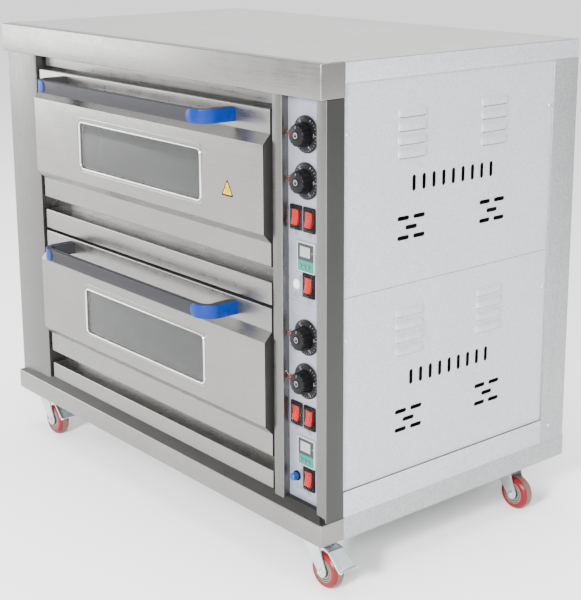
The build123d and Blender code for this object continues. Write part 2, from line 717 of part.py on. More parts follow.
with BuildPart() as control_panels:
    for i, door_top in enumerate(door_tops):
        z_low = z_panel_split + seam if i == 0 else z_floor + sill_rise
        z_high = z_canopy if i == 0 else z_panel_split
        block(x_control_left, x_control_right, y_panel, y_rear, z_low, z_high)
        for drop in knob_drops:
            z = door_top - drop
            shaft((x_knob, y_panel - 1, z), into, shaft_hole, 3 + sheet, mode=Mode.SUBTRACT)
            shaft((x_lamp, y_panel - 1, z + lamp_lift), into, lamp_body_radius + body_play, 3 + sheet,
                  mode=Mode.SUBTRACT)
        for x, z in switch_places(door_top):
            block(x - switch_width / 2 - body_play, x + switch_width / 2 + body_play, y_panel - 1,
                  y_rear + 1, z - switch_length / 2 - body_play, z + switch_length / 2 + body_play,
                  mode=Mode.SUBTRACT)
        z = door_top - timer_drop
        block(x_timer - timer_width / 2 + 2, x_timer + timer_width / 2 - 2, y_panel - 1, y_rear + 1,
              z - timer_height / 2 + 2, z + timer_height / 2 - 2, mode=Mode.SUBTRACT)
        shaft((x_button, y_panel - 1, door_top - button_drop), into, collar_body_radius + body_play,
              3 + sheet, mode=Mode.SUBTRACT)
    # a blanking plug closes the upper panel's button hole
    z = door_tops[0] - button_drop
    shaft((x_button, y_panel - 0.1, z), out, collar_body_radius + 2, 2)
    shaft((x_button, y_panel - 0.1, z), into, collar_body_radius, sheet + 3)
finish(control_panels, "control_panels")

lamp_rim = 2.5
lamp_flange = 3.0
lamp_body_length = 22.0
with BuildPart() as indicator_lamps:
    for door_top in door_tops:
        for drop in knob_drops:
            z = door_top - drop + lamp_lift
            shaft((x_lamp, y_panel, z), out, lamp_radius, lamp_flange)
            shaft((x_lamp, y_panel, z), into, lamp_body_radius, lamp_body_length)
            shaft((x_lamp, y_panel - lamp_flange, z), out, lamp_radius - lamp_rim, lamp_proud - lamp_flange)
finish(indicator_lamps, "indicator_lamps")

bush_reach = 14.0            # thermostat's bore depth for the knob's shaft
with BuildPart() as thermostats:
    for door_top in door_tops:
        for drop in knob_drops:
            z = door_top - drop
            half = thermostat_size / 2
            block(x_knob - half, x_knob + half, y_rear, y_rear + thermostat_depth, z - half, z + half)
            shaft((x_knob, y_rear - 1, z), into, shaft_radius + pin_clearance, bush_reach + 2,
                  mode=Mode.SUBTRACT)
finish(thermostats, "thermostats")

grip_count = 12
knob_gap = 1.0
flute_radius = 2.6
flute_offset = 1.2           # flute's centre outside the knob's edge
pointer_width = 4.0
pointer_proud = 1.2
for name, door_top in zip(deck_names, door_tops):
    for heat, drop in zip(("top", "bottom"), knob_drops):
        z = door_top - drop
        y_back = y_panel - knob_gap
        with BuildPart() as knob:
            shaft((x_knob, y_back, z), out, skirt_radius, skirt_thickness)
            shaft((x_knob, y_back - skirt_thickness, z), out, knob_radius, knob_length)
            with Locations(Plane(origin=(x_knob, y_back - skirt_thickness, z), z_dir=out)):
                with PolarLocations(knob_radius + flute_offset, grip_count):
                    Cylinder(flute_radius, knob_length + 2, align=(Align.CENTER, Align.CENTER, Align.MIN),
                             mode=Mode.SUBTRACT)
            # pointer ridge across the face, and the steel shaft
            y_tip = y_back - skirt_thickness - knob_length
            block(x_knob - pointer_width / 2, x_knob + pointer_width / 2, y_tip - pointer_proud, y_tip,
                  z - knob_radius * 0.6, z + knob_radius * 0.9)
            shaft((x_knob, y_back, z), into, shaft_radius, knob_gap + sheet + bush_reach)
        finish(knob, f"{name}_{heat}_heat_knob")

cavity_wall = switch_wall
cavity_depth = 14.0
trunnion_radius = 1.6
trunnion_reach = 1.5
pivot_setback = 2.0          # rocker's pivot behind the panel's front face
y_pivot = y_panel + pivot_setback
y_flange = y_panel - flange_thickness
with BuildPart() as switch_housings:
    for door_top in door_tops:
        for x, z in switch_places(door_top):
            hw, hl = switch_width / 2, switch_length / 2
            block(x - flange_width / 2, x + flange_width / 2, y_flange, y_panel,
                  z - flange_height / 2, z + flange_height / 2)
            block(x - hw, x + hw, y_panel, y_panel + switch_depth, z - hl, z + hl)
            block(x - hw + cavity_wall, x + hw - cavity_wall, y_flange - 1, y_panel + cavity_depth,
                  z - hl + cavity_wall, z + hl - cavity_wall, mode=Mode.SUBTRACT)
            half_span = hw - cavity_wall + trunnion_reach + body_play
            shaft((x - half_span, y_pivot, z), (1, 0, 0), trunnion_radius + pin_clearance,
                  2 * half_span, mode=Mode.SUBTRACT)
    # collar of the push button
    z = door_tops[-1] - button_drop
    shaft((x_button, y_panel, z), out, collar_radius + 1, 3)
    shaft((x_button, y_panel, z), into, collar_body_radius, 18)
    shaft((x_button, y_panel - 4, z), into, push_radius + 0.2, 4 + 14, mode=Mode.SUBTRACT)
finish(switch_housings, "switch_housings")

with BuildPart() as switch_covers:
    for door_top in door_tops:
        for x, z in switch_places(door_top):
            hw, hh = flange_width / 2 - 1, flange_height / 2 - 1.5
            w = cover_wall
            block(x - hw, x + hw, y_flange - cover_proud, y_flange, z - hh, z + hh)
            block(x - hw + w, x + hw - w, y_flange - cover_proud + w, y_flange + 1, z - hh + w,
                  z + hh - w, mode=Mode.SUBTRACT)
finish(switch_covers, "switch_covers")

for name, door_top in zip(deck_names, door_tops):
    for role, (x, z) in zip(("top_heat", "bottom_heat", "power"), switch_places(door_top)):
        half_width = switch_width / 2 - cavity_wall - body_play
        tilt = radians(rocker_throw / 2)
        upright = [(-8, 15), (-5.5, 0), (-8, -15), (2, -14), (4, -4), (4, 4), (2, 14)]
        turned = [(y_pivot + a * cos(tilt) + b * sin(tilt), z - a * sin(tilt) + b * cos(tilt))
                  for a, b in upright]
        with BuildPart() as rocker:
            along_x(turned, x - half_width, x + half_width)
            reach = switch_width / 2 - cavity_wall + trunnion_reach
            shaft((x - reach, y_pivot, z), (1, 0, 0), trunnion_radius, 2 * reach)
        finish(rocker, f"{name}_{role}_rocker")

key_play = 0.15
key_length = 5.0
case_inset = 2.3             # timer's case inside its rim, all round
screen_depth = 1.5
screen_play = 0.3
screen_face_drop = 0.4
screen_thickness = 1.0
key_well = 7.0
with BuildPart() as timer_units:
    for door_top in door_tops:
        z = door_top - timer_drop
        y_face = y_panel - timer_proud
        block(x_timer - timer_width / 2, x_timer + timer_width / 2, y_face, y_panel,
              z - timer_height / 2, z + timer_height / 2)
        half_width, half_height = timer_width / 2 - case_inset, timer_height / 2 - case_inset
        block(x_timer - half_width, x_timer + half_width, y_panel, y_panel + timer_depth,
              z - half_height, z + half_height)
        zs = z + screen_lift
        block(x_timer - screen_width / 2, x_timer + screen_width / 2, y_face - 1, y_face + screen_depth,
              zs - screen_height / 2, zs + screen_height / 2, mode=Mode.SUBTRACT)
        for x, z_key in key_places(door_top):
            shaft((x, y_face - 1, z_key), into, key_radius + key_play, 1 + key_well, mode=Mode.SUBTRACT)
    for door_top in door_tops:
        zs = door_top - timer_drop + screen_lift
        y_face = y_panel - timer_proud
        half_width, half_height = screen_width / 2 - screen_play, screen_height / 2 - screen_play
        y_screen = y_face + screen_face_drop
        block(x_timer - half_width, x_timer + half_width, y_screen, y_screen + screen_thickness,
              zs - half_height, zs + half_height)
finish(timer_units, "timer_units")

for name, door_top in zip(deck_names, door_tops):
    for role, (x, z) in zip(("set", "up", "down"), key_places(door_top)):
        with BuildPart() as key:
            shaft((x, y_panel - timer_proud - key_proud, z), into, key_radius, key_proud + key_length)
        finish(key, f"{name}_timer_{role}_key")

with BuildPart() as push_button:
    z = door_tops[-1] - button_drop
    shaft((x_button, y_panel - push_proud, z), into, push_radius, push_proud + 9)
    fillet(push_button.faces().sort_by(Axis.Y)[0].edges(), 1.2)
finish(push_button, "push_button")

# ---- back ----------------------------------------------------------------------------------------
grommet_inset = 80.0         # from the stile to the cable entry
grommet_rise = 110.0         # and its height above the cabinet's floor
x_grommet = x_stile + grommet_inset
z_grommet = z_floor + grommet_rise
grommet_flange = 7.0
grommet_neck = 3.8           # wall of the grommet in the back panel's hole
grommet_play = 0.2
vent_pitch = 16.0
vent_rows = 6
vent_drop = 60.0             # first slot below each panel's top edge
vent_slot_inset = 40.0       # from the stile to the slots' near ends
vent_slot_length = 80.0
vent_gap = 6.0
with BuildPart() as back_panels:
    x0, x1 = left + 2 * sheet, right - 2 * sheet
    z_back_split = door_tops[0] - deck_pitch + header_drop
    for z0, z1 in ((z_floor, z_back_split - seam / 2), (z_back_split + seam / 2, z_rail - seam)):
        block(x0, x1, back - 2 * sheet, back - sheet, z0, z1)
        # cooling slots behind the controls
        for i in range(vent_rows):
            z = z1 - vent_drop - i * vent_pitch
            x_slot = x_stile + vent_slot_inset
            block(x_slot, x_slot + vent_slot_length, back - 3 * sheet, back, z - vent_gap / 2,
                  z + vent_gap / 2, mode=Mode.SUBTRACT)
    shaft((x_grommet, back - 5, z_grommet), into, grommet_bore_radius + grommet_neck + grommet_play, 10,
          mode=Mode.SUBTRACT)
finish(back_panels, "back_panels")

with BuildPart() as cable_grommet:
    y0 = back + back_proud
    y1 = y0 - back_proud - sheet
    flange_radius = grommet_bore_radius + grommet_flange
    shaft((x_grommet, y0, z_grommet), out, flange_radius, back_proud + sheet)
    shaft((x_grommet, y1, z_grommet), out, grommet_bore_radius + grommet_neck, sheet + grommet_play)
    shaft((x_grommet, y1 - sheet - grommet_play, z_grommet), out, flange_radius, 2)
    shaft((x_grommet, y0 + 1, z_grommet), out, grommet_bore_radius, 20, mode=Mode.SUBTRACT)
finish(cable_grommet, "cable_grommet")

# ---- screws --------------------------------------------------------------------------------------
bolt_head = 6.5
bolt_head_height = 5.0


def pan_screw(face_point, direction):
    """A pan-head screw whose head sits on the sheet at face_point; direction points outwards."""
    inward = tuple(-c for c in direction)
    shaft(face_point, direction, screw_head_radius, screw_head_height)
    shaft(face_point, inward, screw_radius, screw_length)


def flush_screw(face_point, direction):
    """A flat-head screw sunk level with the sheet at face_point; direction points outwards."""
    inward = tuple(-c for c in direction)
    shaft(face_point, inward, flush_radius, flush_thickness)
    shaft(face_point, inward, screw_radius, screw_length)


with BuildPart() as screws:
    for x_face, x_side, outward in ((left + panel_recess, left, -1), (right - panel_recess, right, 1)):
        for door_top in door_tops:
            for y in panel_screw_ys:
                pan_screw((x_face, y, door_top - panel_screw_drop), (outward, 0, 0))
        flush_screw((x_side, *post_screw), (outward, 0, 0))
        for run in roof_screw_depths:
            flush_screw((x_side - outward * roof_screw_inset, front + run, z_top), (0, 0, 1))
    # casters: four bolts to each plate, heads below, nuts above
    for x, y in bolt_spots:
        shaft((x, y, z_tray - plate_thickness), (0, 0, -1), bolt_head, bolt_head_height)
        shaft((x, y, z_tray - plate_thickness), (0, 0, 1), bolt_radius, 2 * plate_thickness + 8)
        shaft((x, y, z_tray + plate_thickness), (0, 0, 1), bolt_head, bolt_head_height)
finish(screws, "screws")

# ---- casters -------------------------------------------------------------------------------------
z_plate = z_tray - plate_thickness
race_radius = 26.0
race_thickness = 5.0
kingpin_radius = 6.0
z_race = z_plate - race_thickness
with BuildPart() as caster_plates:
    for x, y in caster_spots.values():
        block(x - plate_length / 2, x + plate_length / 2, y - plate_width / 2, y + plate_width / 2,
              z_plate, z_tray)
        shaft((x, y, z_plate), (0, 0, -1), race_radius, race_thickness)
        shaft((x, y, z_race), (0, 0, -1), kingpin_radius, fork_sheet + 5)
        shaft((x, y, z_race - fork_sheet - body_clearance), (0, 0, -1), kingpin_radius + 4, 4)
    for x, y in bolt_spots:
        shaft((x, y, z_plate - 1), (0, 0, 1), bolt_radius + bolt_play, plate_thickness + 2,
              mode=Mode.SUBTRACT)
finish(caster_plates, "caster_plates")

leg_gap = wheel_width / 2 + 2.5
z_axle = wheel_radius
z_crown = z_race - body_clearance
fork_head = 30.0
foot_radius = 13.0
nut_radius = 6.5
nut_thickness = 5.0
axle_end = 6.0               # axle's reach past each leg
hub_radius = 9.0
web_radius = 24.0            # wheel's thin middle, inside the tyre
web_recess = 2.0
tyre_corner = 5.0
pedal_pin_radius = 2.5
pedal_sheet = 3.5
pedal_lift = 12.0            # pedal's pin below the fork's crown
pedal_pin_run = 20.0         # and ahead of the swivel axis
for spot, (x, y) in caster_spots.items():
    x_axle = x + caster_trail
    with BuildPart() as fork:
        block(x - fork_head, x + fork_head, y - leg_gap - fork_sheet, y + leg_gap + fork_sheet,
              z_crown - fork_sheet, z_crown)
        shaft((x, y, z_crown - fork_sheet - 1), (0, 0, 1), kingpin_radius + body_clearance,
              fork_sheet + 2, mode=Mode.SUBTRACT)
        for y_leg in (y - leg_gap - fork_sheet, y + leg_gap):
            along_y([(x - fork_head, z_crown), (x + fork_head, z_crown), (x_axle + foot_radius, z_axle + 4),
                     (x_axle + foot_radius - 4, z_axle - 7), (x_axle + 4, z_axle - foot_radius),
                     (x_axle - 6, z_axle - foot_radius + 2), (x_axle - foot_radius, z_axle)],
                    y_leg, y_leg + fork_sheet)
        shaft((x_axle, y - leg_gap - fork_sheet - 1, z_axle), into, axle_radius,
              2 * (leg_gap + fork_sheet) + 2, mode=Mode.SUBTRACT)
        # axle bolt with its head and nut
        shaft((x_axle, y - leg_gap - fork_sheet - axle_end, z_axle), into, axle_radius,
              2 * (leg_gap + fork_sheet + axle_end))
        shaft((x_axle, y - leg_gap - fork_sheet, z_axle), out, nut_radius, nut_thickness)
        shaft((x_axle, y + leg_gap + fork_sheet, z_axle), into, nut_radius, nut_thickness)
        if spot.startswith("front"):
            shaft((x + pedal_pin_run, y - leg_gap - fork_sheet - 2, z_crown - pedal_lift), into,
                  pedal_pin_radius, 2 * (leg_gap + fork_sheet + 2))
    finish(fork, f"{spot}_caster_fork")

    with BuildPart() as wheel:
        bore = axle_radius + wheel_bore_clearance
        hw = wheel_width / 2
        with BuildSketch(Plane(origin=(x_axle, y, z_axle), x_dir=(1, 0, 0), z_dir=(0, 0, 1))) as half_section:
            with BuildLine():
                Polyline((bore, -hw - 1), (bore, hw + 1), (hub_radius, hw + 1),
                         (hub_radius, hw - web_recess), (web_radius, hw - web_recess),
                         (web_radius, hw), (wheel_radius - tyre_corner, hw),
                         (wheel_radius, hw - tyre_corner), (wheel_radius, -hw + tyre_corner),
                         (wheel_radius - tyre_corner, -hw), (web_radius, -hw),
                         (web_radius, -hw + web_recess), (hub_radius, -hw + web_recess),
                         (hub_radius, -hw - 1), close=True)
            make_face()
        revolve(half_section.sketch, axis=Axis((x_axle, y, z_axle), (0, 1, 0)))
    finish(wheel, f"{spot}_caster_wheel")

lip_rise = 24.0              # underside of the pedal's lip above the axle
pedal_play = 0.6             # between the pedal's arm and the fork's legs
for side in ("left", "right"):
    x, y = caster_spots[f"front_{side}"]
    x_pin, z_pin = x + pedal_pin_run, z_crown - pedal_lift
    tip = x + pedal_reach
    z_lip = z_axle + lip_rise
    t = pedal_sheet
    with BuildPart() as pedal:
        # arm between the fork's legs, then a broad plate that bends down past the tyre to a lip
        along_y([(x_pin - 5, z_pin - 4), (x_pin - 5, z_pin + 4), (x_pin + 24, z_pin + 5),
                 (x_pin + 24, z_pin + 5 - t)], y - leg_gap + pedal_play, y + leg_gap - pedal_play)
        along_y([(x_pin + 20, z_pin + 5), (tip - 24, z_pin + 3), (tip - 16, z_pin - 6),
                 (tip - 11, z_lip + 5), (tip - 7, z_lip + t), (tip, z_lip + t + 2), (tip, z_lip + 2),
                 (tip - 8, z_lip), (tip - 14, z_lip + 3), (tip - 19, z_pin - 8),
                 (tip - 26, z_pin + 3 - t), (x_pin + 20, z_pin + 5 - t)],
                y - pedal_width / 2, y + pedal_width / 2)
        shaft((x_pin, y - leg_gap - 1, z_pin), into, pedal_pin_radius + pin_clearance, 2 * leg_gap + 2,
              mode=Mode.SUBTRACT)
    finish(pedal, f"front_{side}_brake_pedal")
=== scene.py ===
import bpy
import bmesh
import json
from math import cos, sin, tan, pi, radians, sqrt
from mathutils import Vector, Matrix

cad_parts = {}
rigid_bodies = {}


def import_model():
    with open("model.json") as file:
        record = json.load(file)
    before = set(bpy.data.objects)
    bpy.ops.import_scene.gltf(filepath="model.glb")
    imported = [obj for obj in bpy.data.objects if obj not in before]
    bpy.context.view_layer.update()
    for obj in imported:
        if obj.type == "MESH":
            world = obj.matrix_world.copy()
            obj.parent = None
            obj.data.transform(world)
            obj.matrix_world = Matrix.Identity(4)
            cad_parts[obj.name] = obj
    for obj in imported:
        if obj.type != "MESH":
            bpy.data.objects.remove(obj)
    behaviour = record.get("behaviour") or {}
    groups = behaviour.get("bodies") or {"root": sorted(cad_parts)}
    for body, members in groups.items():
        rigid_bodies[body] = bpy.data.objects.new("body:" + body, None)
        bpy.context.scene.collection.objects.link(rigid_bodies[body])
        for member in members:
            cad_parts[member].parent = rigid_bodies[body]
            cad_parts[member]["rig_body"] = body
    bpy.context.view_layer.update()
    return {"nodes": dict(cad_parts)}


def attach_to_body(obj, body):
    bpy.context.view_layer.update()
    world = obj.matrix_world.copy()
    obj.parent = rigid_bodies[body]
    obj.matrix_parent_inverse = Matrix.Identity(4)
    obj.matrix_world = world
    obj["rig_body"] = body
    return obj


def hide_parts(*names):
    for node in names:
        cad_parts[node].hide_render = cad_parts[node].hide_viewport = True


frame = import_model()

# Visual model of a two-deck electric bakery oven. Lengths below are in millimetres unless a name
# says otherwise, and every piece is built in place, in the same axes as the solid model.

# ==== Finishes ====================================================================================
# The oven is satin brushed stainless in front and on top, and spangled zinc-coated sheet elsewhere.
# Plastics are moulded with a fine grain; the tyres are red polyurethane on zinc-plated forks.
MM = 0.001


def new_group(name, sockets_in, sockets_out):
    """An empty shader node group with its inputs and outputs declared."""
    group = bpy.data.node_groups.new(name, "ShaderNodeTree")
    for label, kind, value in sockets_in:
        socket = group.interface.new_socket(name=label, in_out="INPUT", socket_type=kind)
        socket.default_value = value
    for label, kind in sockets_out:
        group.interface.new_socket(name=label, in_out="OUTPUT", socket_type=kind)
    entry = group.nodes.new("NodeGroupInput")
    leave = group.nodes.new("NodeGroupOutput")
    return group, entry.outputs, leave.inputs


def noise(group, vector, scale, detail=3.0, rough=0.55):
    """A noise texture node reading the given vector; returns its value."""
    node = group.nodes.new("ShaderNodeTexNoise")
    node.inputs["Scale"].default_value = scale
    node.inputs["Detail"].default_value = detail
    node.inputs["Roughness"].default_value = rough
    group.links.new(vector, node.inputs["Vector"])
    return node.outputs["Fac"]


def remap(group, value, low, high, from_low=0.3, from_high=0.7):
    """Stretch a value between two limits, clamped."""
    node = group.nodes.new("ShaderNodeMapRange")
    for key, number in (("From Min", from_low), ("From Max", from_high), ("To Min", low), ("To Max", high)):
        node.inputs[key].default_value = number
    group.links.new(value, node.inputs["Value"])
    return node.outputs["Result"]


def arithmetic(group, kind, a, b):
    """A math node of two values, each a socket or a number."""
    node = group.nodes.new("ShaderNodeMath")
    node.operation = kind
    for socket, value in zip(node.inputs, (a, b)):
        if isinstance(value, (int, float)):
            socket.default_value = value
        else:
            group.links.new(value, socket)
    return node.outputs[0]


def shaded(group, colour, factor):
    """A colour made lighter or darker by a factor."""
    node = group.nodes.new("ShaderNodeVectorMath")
    node.operation = "SCALE"
    group.links.new(colour, node.inputs[0])
    group.links.new(factor, node.inputs["Scale"])
    return node.outputs[0]


def stretched(group, vector, stretch):
    """The vector scaled along each axis."""
    node = group.nodes.new("ShaderNodeVectorMath")
    node.operation = "MULTIPLY"
    group.links.new(vector, node.inputs[0])
    group.links.new(stretch, node.inputs[1])
    return node.outputs[0]


def here(group):
    """Coordinates fixed to the piece, in metres."""
    return group.nodes.new("ShaderNodeTexCoord").outputs["Object"]


EFFECT_OUT = [("Colour", "NodeSocketColor"), ("Roughness", "NodeSocketFloat"), ("Height", "NodeSocketFloat")]


def effect_inputs(stretch):
    return [("Colour", "NodeSocketColor", (0.5, 0.5, 0.5, 1)), ("Roughness", "NodeSocketFloat", 0.4),
            ("Stretch", "NodeSocketVector", stretch)]


# fine parallel brush lines, wide faint bands along them, and cloudy handling marks
brushed, into, out = new_group("brushed", effect_inputs((4, 260, 260)), EFFECT_OUT)
at = here(brushed)
lines = noise(brushed, stretched(brushed, at, into["Stretch"]), 1.0, 5, 0.7)
clouds = noise(brushed, at, 7.0, 3)
smears = noise(brushed, at, 31.0, 4)
tone = arithmetic(brushed, "MULTIPLY", remap(brushed, lines, 0.965, 1.03), remap(brushed, clouds, 0.95, 1.03))
rough = arithmetic(brushed, "ADD", into["Roughness"], remap(brushed, lines, -0.05, 0.06))
rough = arithmetic(brushed, "ADD", rough, remap(brushed, smears, -0.03, 0.05))
brushed.links.new(shaded(brushed, into["Colour"], tone), out["Colour"])
brushed.links.new(rough, out["Roughness"])
brushed.links.new(lines, out["Height"])

# crystals of a zinc coating, each with its own tone, and grey specks between them
spangled, into, out = new_group("spangled", effect_inputs((1, 1, 1)), EFFECT_OUT)
at = stretched(spangled, here(spangled), into["Stretch"])
crystals = spangled.nodes.new("ShaderNodeTexVoronoi")
crystals.inputs["Scale"].default_value = 150.0
spangled.links.new(at, crystals.inputs["Vector"])
flake = spangled.nodes.new("ShaderNodeSeparateColor")
spangled.links.new(crystals.outputs["Color"], flake.inputs[0])
specks = noise(spangled, at, 300.0, 2, 0.8)
clouds = noise(spangled, at, 5.0, 3)
tone = arithmetic(spangled, "MULTIPLY", remap(spangled, specks, 0.76, 1.07, 0.32, 0.6),
                  remap(spangled, flake.outputs[0], 0.96, 1.03, 0, 1))
tone = arithmetic(spangled, "MULTIPLY", tone, remap(spangled, clouds, 0.97, 1.02))
spangled.links.new(shaded(spangled, into["Colour"], tone), out["Colour"])
spangled.links.new(arithmetic(spangled, "ADD", into["Roughness"],
                              remap(spangled, flake.outputs[1], -0.08, 0.08, 0, 1)),
                   out["Roughness"])
spangled.links.new(specks, out["Height"])

# moulded or painted skin: fine grain, faint dust and rubbed patches
moulded, into, out = new_group("moulded", effect_inputs((1, 1, 1)), EFFECT_OUT)
at = stretched(moulded, here(moulded), into["Stretch"])
grain = noise(moulded, at, 900.0, 2, 0.6)
dust = noise(moulded, at, 24.0, 4)
moulded.links.new(shaded(moulded, into["Colour"], remap(moulded, dust, 0.9, 1.12)), out["Colour"])
moulded.links.new(arithmetic(moulded, "ADD", into["Roughness"], remap(moulded, dust, -0.06, 0.08)),
                  out["Roughness"])
moulded.links.new(grain, out["Height"])

# heat-stained steel: brown-blue clouds over bare metal, scale marks
stained, into, out = new_group("stained", effect_inputs((1, 1, 1)), EFFECT_OUT)
at = stretched(stained, here(stained), into["Stretch"])
clouds = noise(stained, at, 9.0, 5, 0.65)
marks = noise(stained, at, 120.0, 3)
blend = stained.nodes.new("ShaderNodeMix")
blend.data_type = "RGBA"
blend.inputs["B"].default_value = (0.17, 0.115, 0.07, 1)
stained.links.new(remap(stained, clouds, 0.0, 0.45, 0.42, 0.75), blend.inputs["Factor"])
stained.links.new(into["Colour"], blend.inputs["A"])
stained.links.new(shaded(stained, blend.outputs["Result"], remap(stained, marks, 0.88, 1.08)), out["Colour"])
stained.links.new(arithmetic(stained, "ADD", into["Roughness"], remap(stained, clouds, -0.08, 0.15)),
                  out["Roughness"])
stained.links.new(marks, out["Height"])


def surface(name, colour, metallic, rough, effect, bump=0.05, reach=0.2, stretch=None, **sockets):
    """A material: one Principled shader fed by a shared effect; bump is its strength, reach its depth."""
    material = bpy.data.materials.new(name)
    material.use_nodes = True
    tree = material.node_tree
    shader = tree.nodes["Principled BSDF"]
    shader.inputs["Metallic"].default_value = metallic
    group = tree.nodes.new("ShaderNodeGroup")
    group.node_tree = effect
    group.inputs["Colour"].default_value = (*colour, 1)
    group.inputs["Roughness"].default_value = rough
    if stretch:
        group.inputs["Stretch"].default_value = stretch
    lift = tree.nodes.new("ShaderNodeBump")
    lift.inputs["Strength"].default_value = bump
    lift.inputs["Distance"].default_value = reach * MM
    tree.links.new(group.outputs["Colour"], shader.inputs["Base Color"])
    tree.links.new(group.outputs["Roughness"], shader.inputs["Roughness"])
    tree.links.new(group.outputs["Height"], lift.inputs["Height"])
    tree.links.new(lift.outputs["Normal"], shader.inputs["Normal"])
    for label, value in sockets.items():
        shader.inputs[label.replace("_", " ")].default_value = value
    return material


ALONG_X, ALONG_Z = (5, 330, 330), (330, 330, 5)
steel_x = surface("stainless_along_x", (0.217, 0.213, 0.206), 0.95, 0.29, brushed, bump=0.025,
                  stretch=ALONG_X)
# the sill is the same stainless darkened to about a fifth: a painted dark reflection, not a different metal
sill_painted_dark_reflection = surface("stainless_sill_painted_dark_reflection", (0.045, 0.044, 0.043), 0.95, 0.33, brushed, bump=0.025,
                     stretch=ALONG_X)
# the roof is the same stainless, about twice as light as the front: painted light on the top face
roof_painted_light = surface("stainless_roof_painted_light", (0.47, 0.467, 0.455), 0.9, 0.34, brushed, stretch=ALONG_X)
steel_z = surface("stainless_along_z", (0.135, 0.133, 0.129), 0.95, 0.29, brushed, bump=0.025,
                  stretch=ALONG_Z)
# the pillars' outer side faces take a far darker copy of the stainless: painted shade on the sideways faces,
# not a different metal
flank_painted_shade = surface("stainless_flank_painted_shade", (0.056, 0.056, 0.055), 0.95, 0.32, brushed, bump=0.03,
                      stretch=ALONG_Z)
# the bead is the same steel made about three times as light: a painted highlight along the window's edge
bead_painted_highlight = surface("polished_bead_painted_highlight", (0.62, 0.615, 0.60), 1.0, 0.2, brushed, bump=0.02, stretch=ALONG_X)
zinc_sheet = surface("spangled_zinc", (0.44, 0.465, 0.505), 0.35, 0.46, spangled, bump=0.1)
dull_sheet = surface("mill_zinc", (0.33, 0.34, 0.345), 0.7, 0.42, spangled, bump=0.06)
liner_steel = surface("liner_steel", (0.36, 0.36, 0.355), 0.8, 0.42, stained, bump=0.1)
hearth_steel = surface("hearth_steel", (0.22, 0.215, 0.21), 0.8, 0.5, stained, bump=0.2, reach=0.4)
element_skin = surface("element_sheath", (0.09, 0.085, 0.08), 0.6, 0.55, stained, bump=0.2)
wool = surface("mineral_wool", (0.055, 0.05, 0.04), 0.0, 0.95, moulded, bump=0.8, reach=2.0)
bright_zinc = surface("bright_zinc", (0.62, 0.67, 0.70), 0.95, 0.22, moulded, bump=0.03)
pressed_zinc = surface("pressed_zinc", (0.52, 0.56, 0.57), 0.85, 0.34, moulded, bump=0.06)
black_case = surface("black_plastic", (0.004, 0.004, 0.0045), 0.0, 0.42, moulded, bump=0.12,
                     Specular_IOR_Level=0.06)
dark_case = surface("phenolic", (0.004, 0.004, 0.0045), 0.0, 0.34, moulded, bump=0.08, Specular_IOR_Level=0.1)
rubber = surface("rubber", (0.006, 0.006, 0.006), 0.0, 0.75, moulded, bump=0.2, Specular_IOR_Level=0.15)
ink = surface("pale_ink", (0.16, 0.165, 0.18), 0.0, 0.6, moulded, bump=0.02)
dark_ink = surface("dark_ink", (0.02, 0.022, 0.05), 0.0, 0.6, moulded, bump=0.02)

# ==== Sheet-metal front: canopy, base, pillars and stile ===========================================
# Folded 1.5 mm stainless. The canopy and the base fascia wrap 60 mm round both sides; the pillars
# and the stile stand between them and are spot-welded behind. Every bend has a small outer radius.
NODES = frame["nodes"]
LEFT, RIGHT, FRONT, BACK = -629.0, 591.0, -338.5, 401.5
Z_TRAY, Z_FLOOR, Z_CANOPY, Z_TOP = 108.0, 156.0, 999.0, 1067.0
Y_SIDE, Y_MOUTH, Y_PILLAR, Y_PANEL = -278.5, -276.5, -324.5, -307.5
X_OPEN, X_STILE, X_CONTROL_LEFT, X_CONTROL_RIGHT = -491.0, 429.0, 459.0, 561.0
Y_ROOF, Y_LEDGE, Y_HEADER = FRONT + 22, FRONT + 20, FRONT + 37
Z_SKIRT, Z_HEADER, Z_RAIL = 210.0, 970.0, 1027.0
SHEET = 1.5
SEAM = 0.5


def fillet(points, radius, closed=False, steps=4):
    """The polyline with each corner turned into an arc of that radius."""
    made = []
    count = len(points)
    for i, corner in enumerate(points):
        if not closed and i in (0, count - 1):
            made.append(tuple(corner))
            continue
        corner = Vector(corner)
        before, after = Vector(points[i - 1]) - corner, Vector(points[(i + 1) % count]) - corner
        half = before.angle(after, pi) / 2
        if half > pi / 2 - 0.02 or radius <= 0:
            made.append(tuple(corner))
            continue
        run = min(radius / tan(half), 0.48 * before.length, 0.48 * after.length)
        a, b = corner + before.normalized() * run, corner + after.normalized() * run
        centre = corner + (before.normalized() + after.normalized()).normalized() * run / cos(half)
        sweep = pi - 2 * half
        for s in range(steps + 1):
            t = s / steps
            point = (sin((1 - t) * sweep) * (a - centre) + sin(t * sweep) * (b - centre)) / sin(sweep)
            made.append(tuple(centre + point))
    return made


def normals(path, closed=False):
    """For each point of a path in the plane, the mitred normal on its left."""
    found = []
    count = len(path)
    for i in range(count):
        a = Vector(path[i - 1]) if closed or i else Vector(path[0])
        here_ = Vector(path[i])
        b = Vector(path[(i + 1) % count]) if closed or i < count - 1 else Vector(path[-1])
        d0 = (here_ - a).normalized() if (here_ - a).length > 1e-9 else (b - here_).normalized()
        d1 = (b - here_).normalized() if (b - here_).length > 1e-9 else d0
        n0, n1 = Vector((-d0.y, d0.x)), Vector((-d1.y, d1.x))
        mean = (n0 + n1).normalized()
        found.append(mean / max(mean.dot(n0), 0.35))
    return found


def thick(path, amount=SHEET):
    """The closed outline of a sheet of that thickness, on the left of the path."""
    side = normals(path)
    return list(path) + [tuple(Vector(p) + n * amount) for p, n in zip(path, side)][::-1]


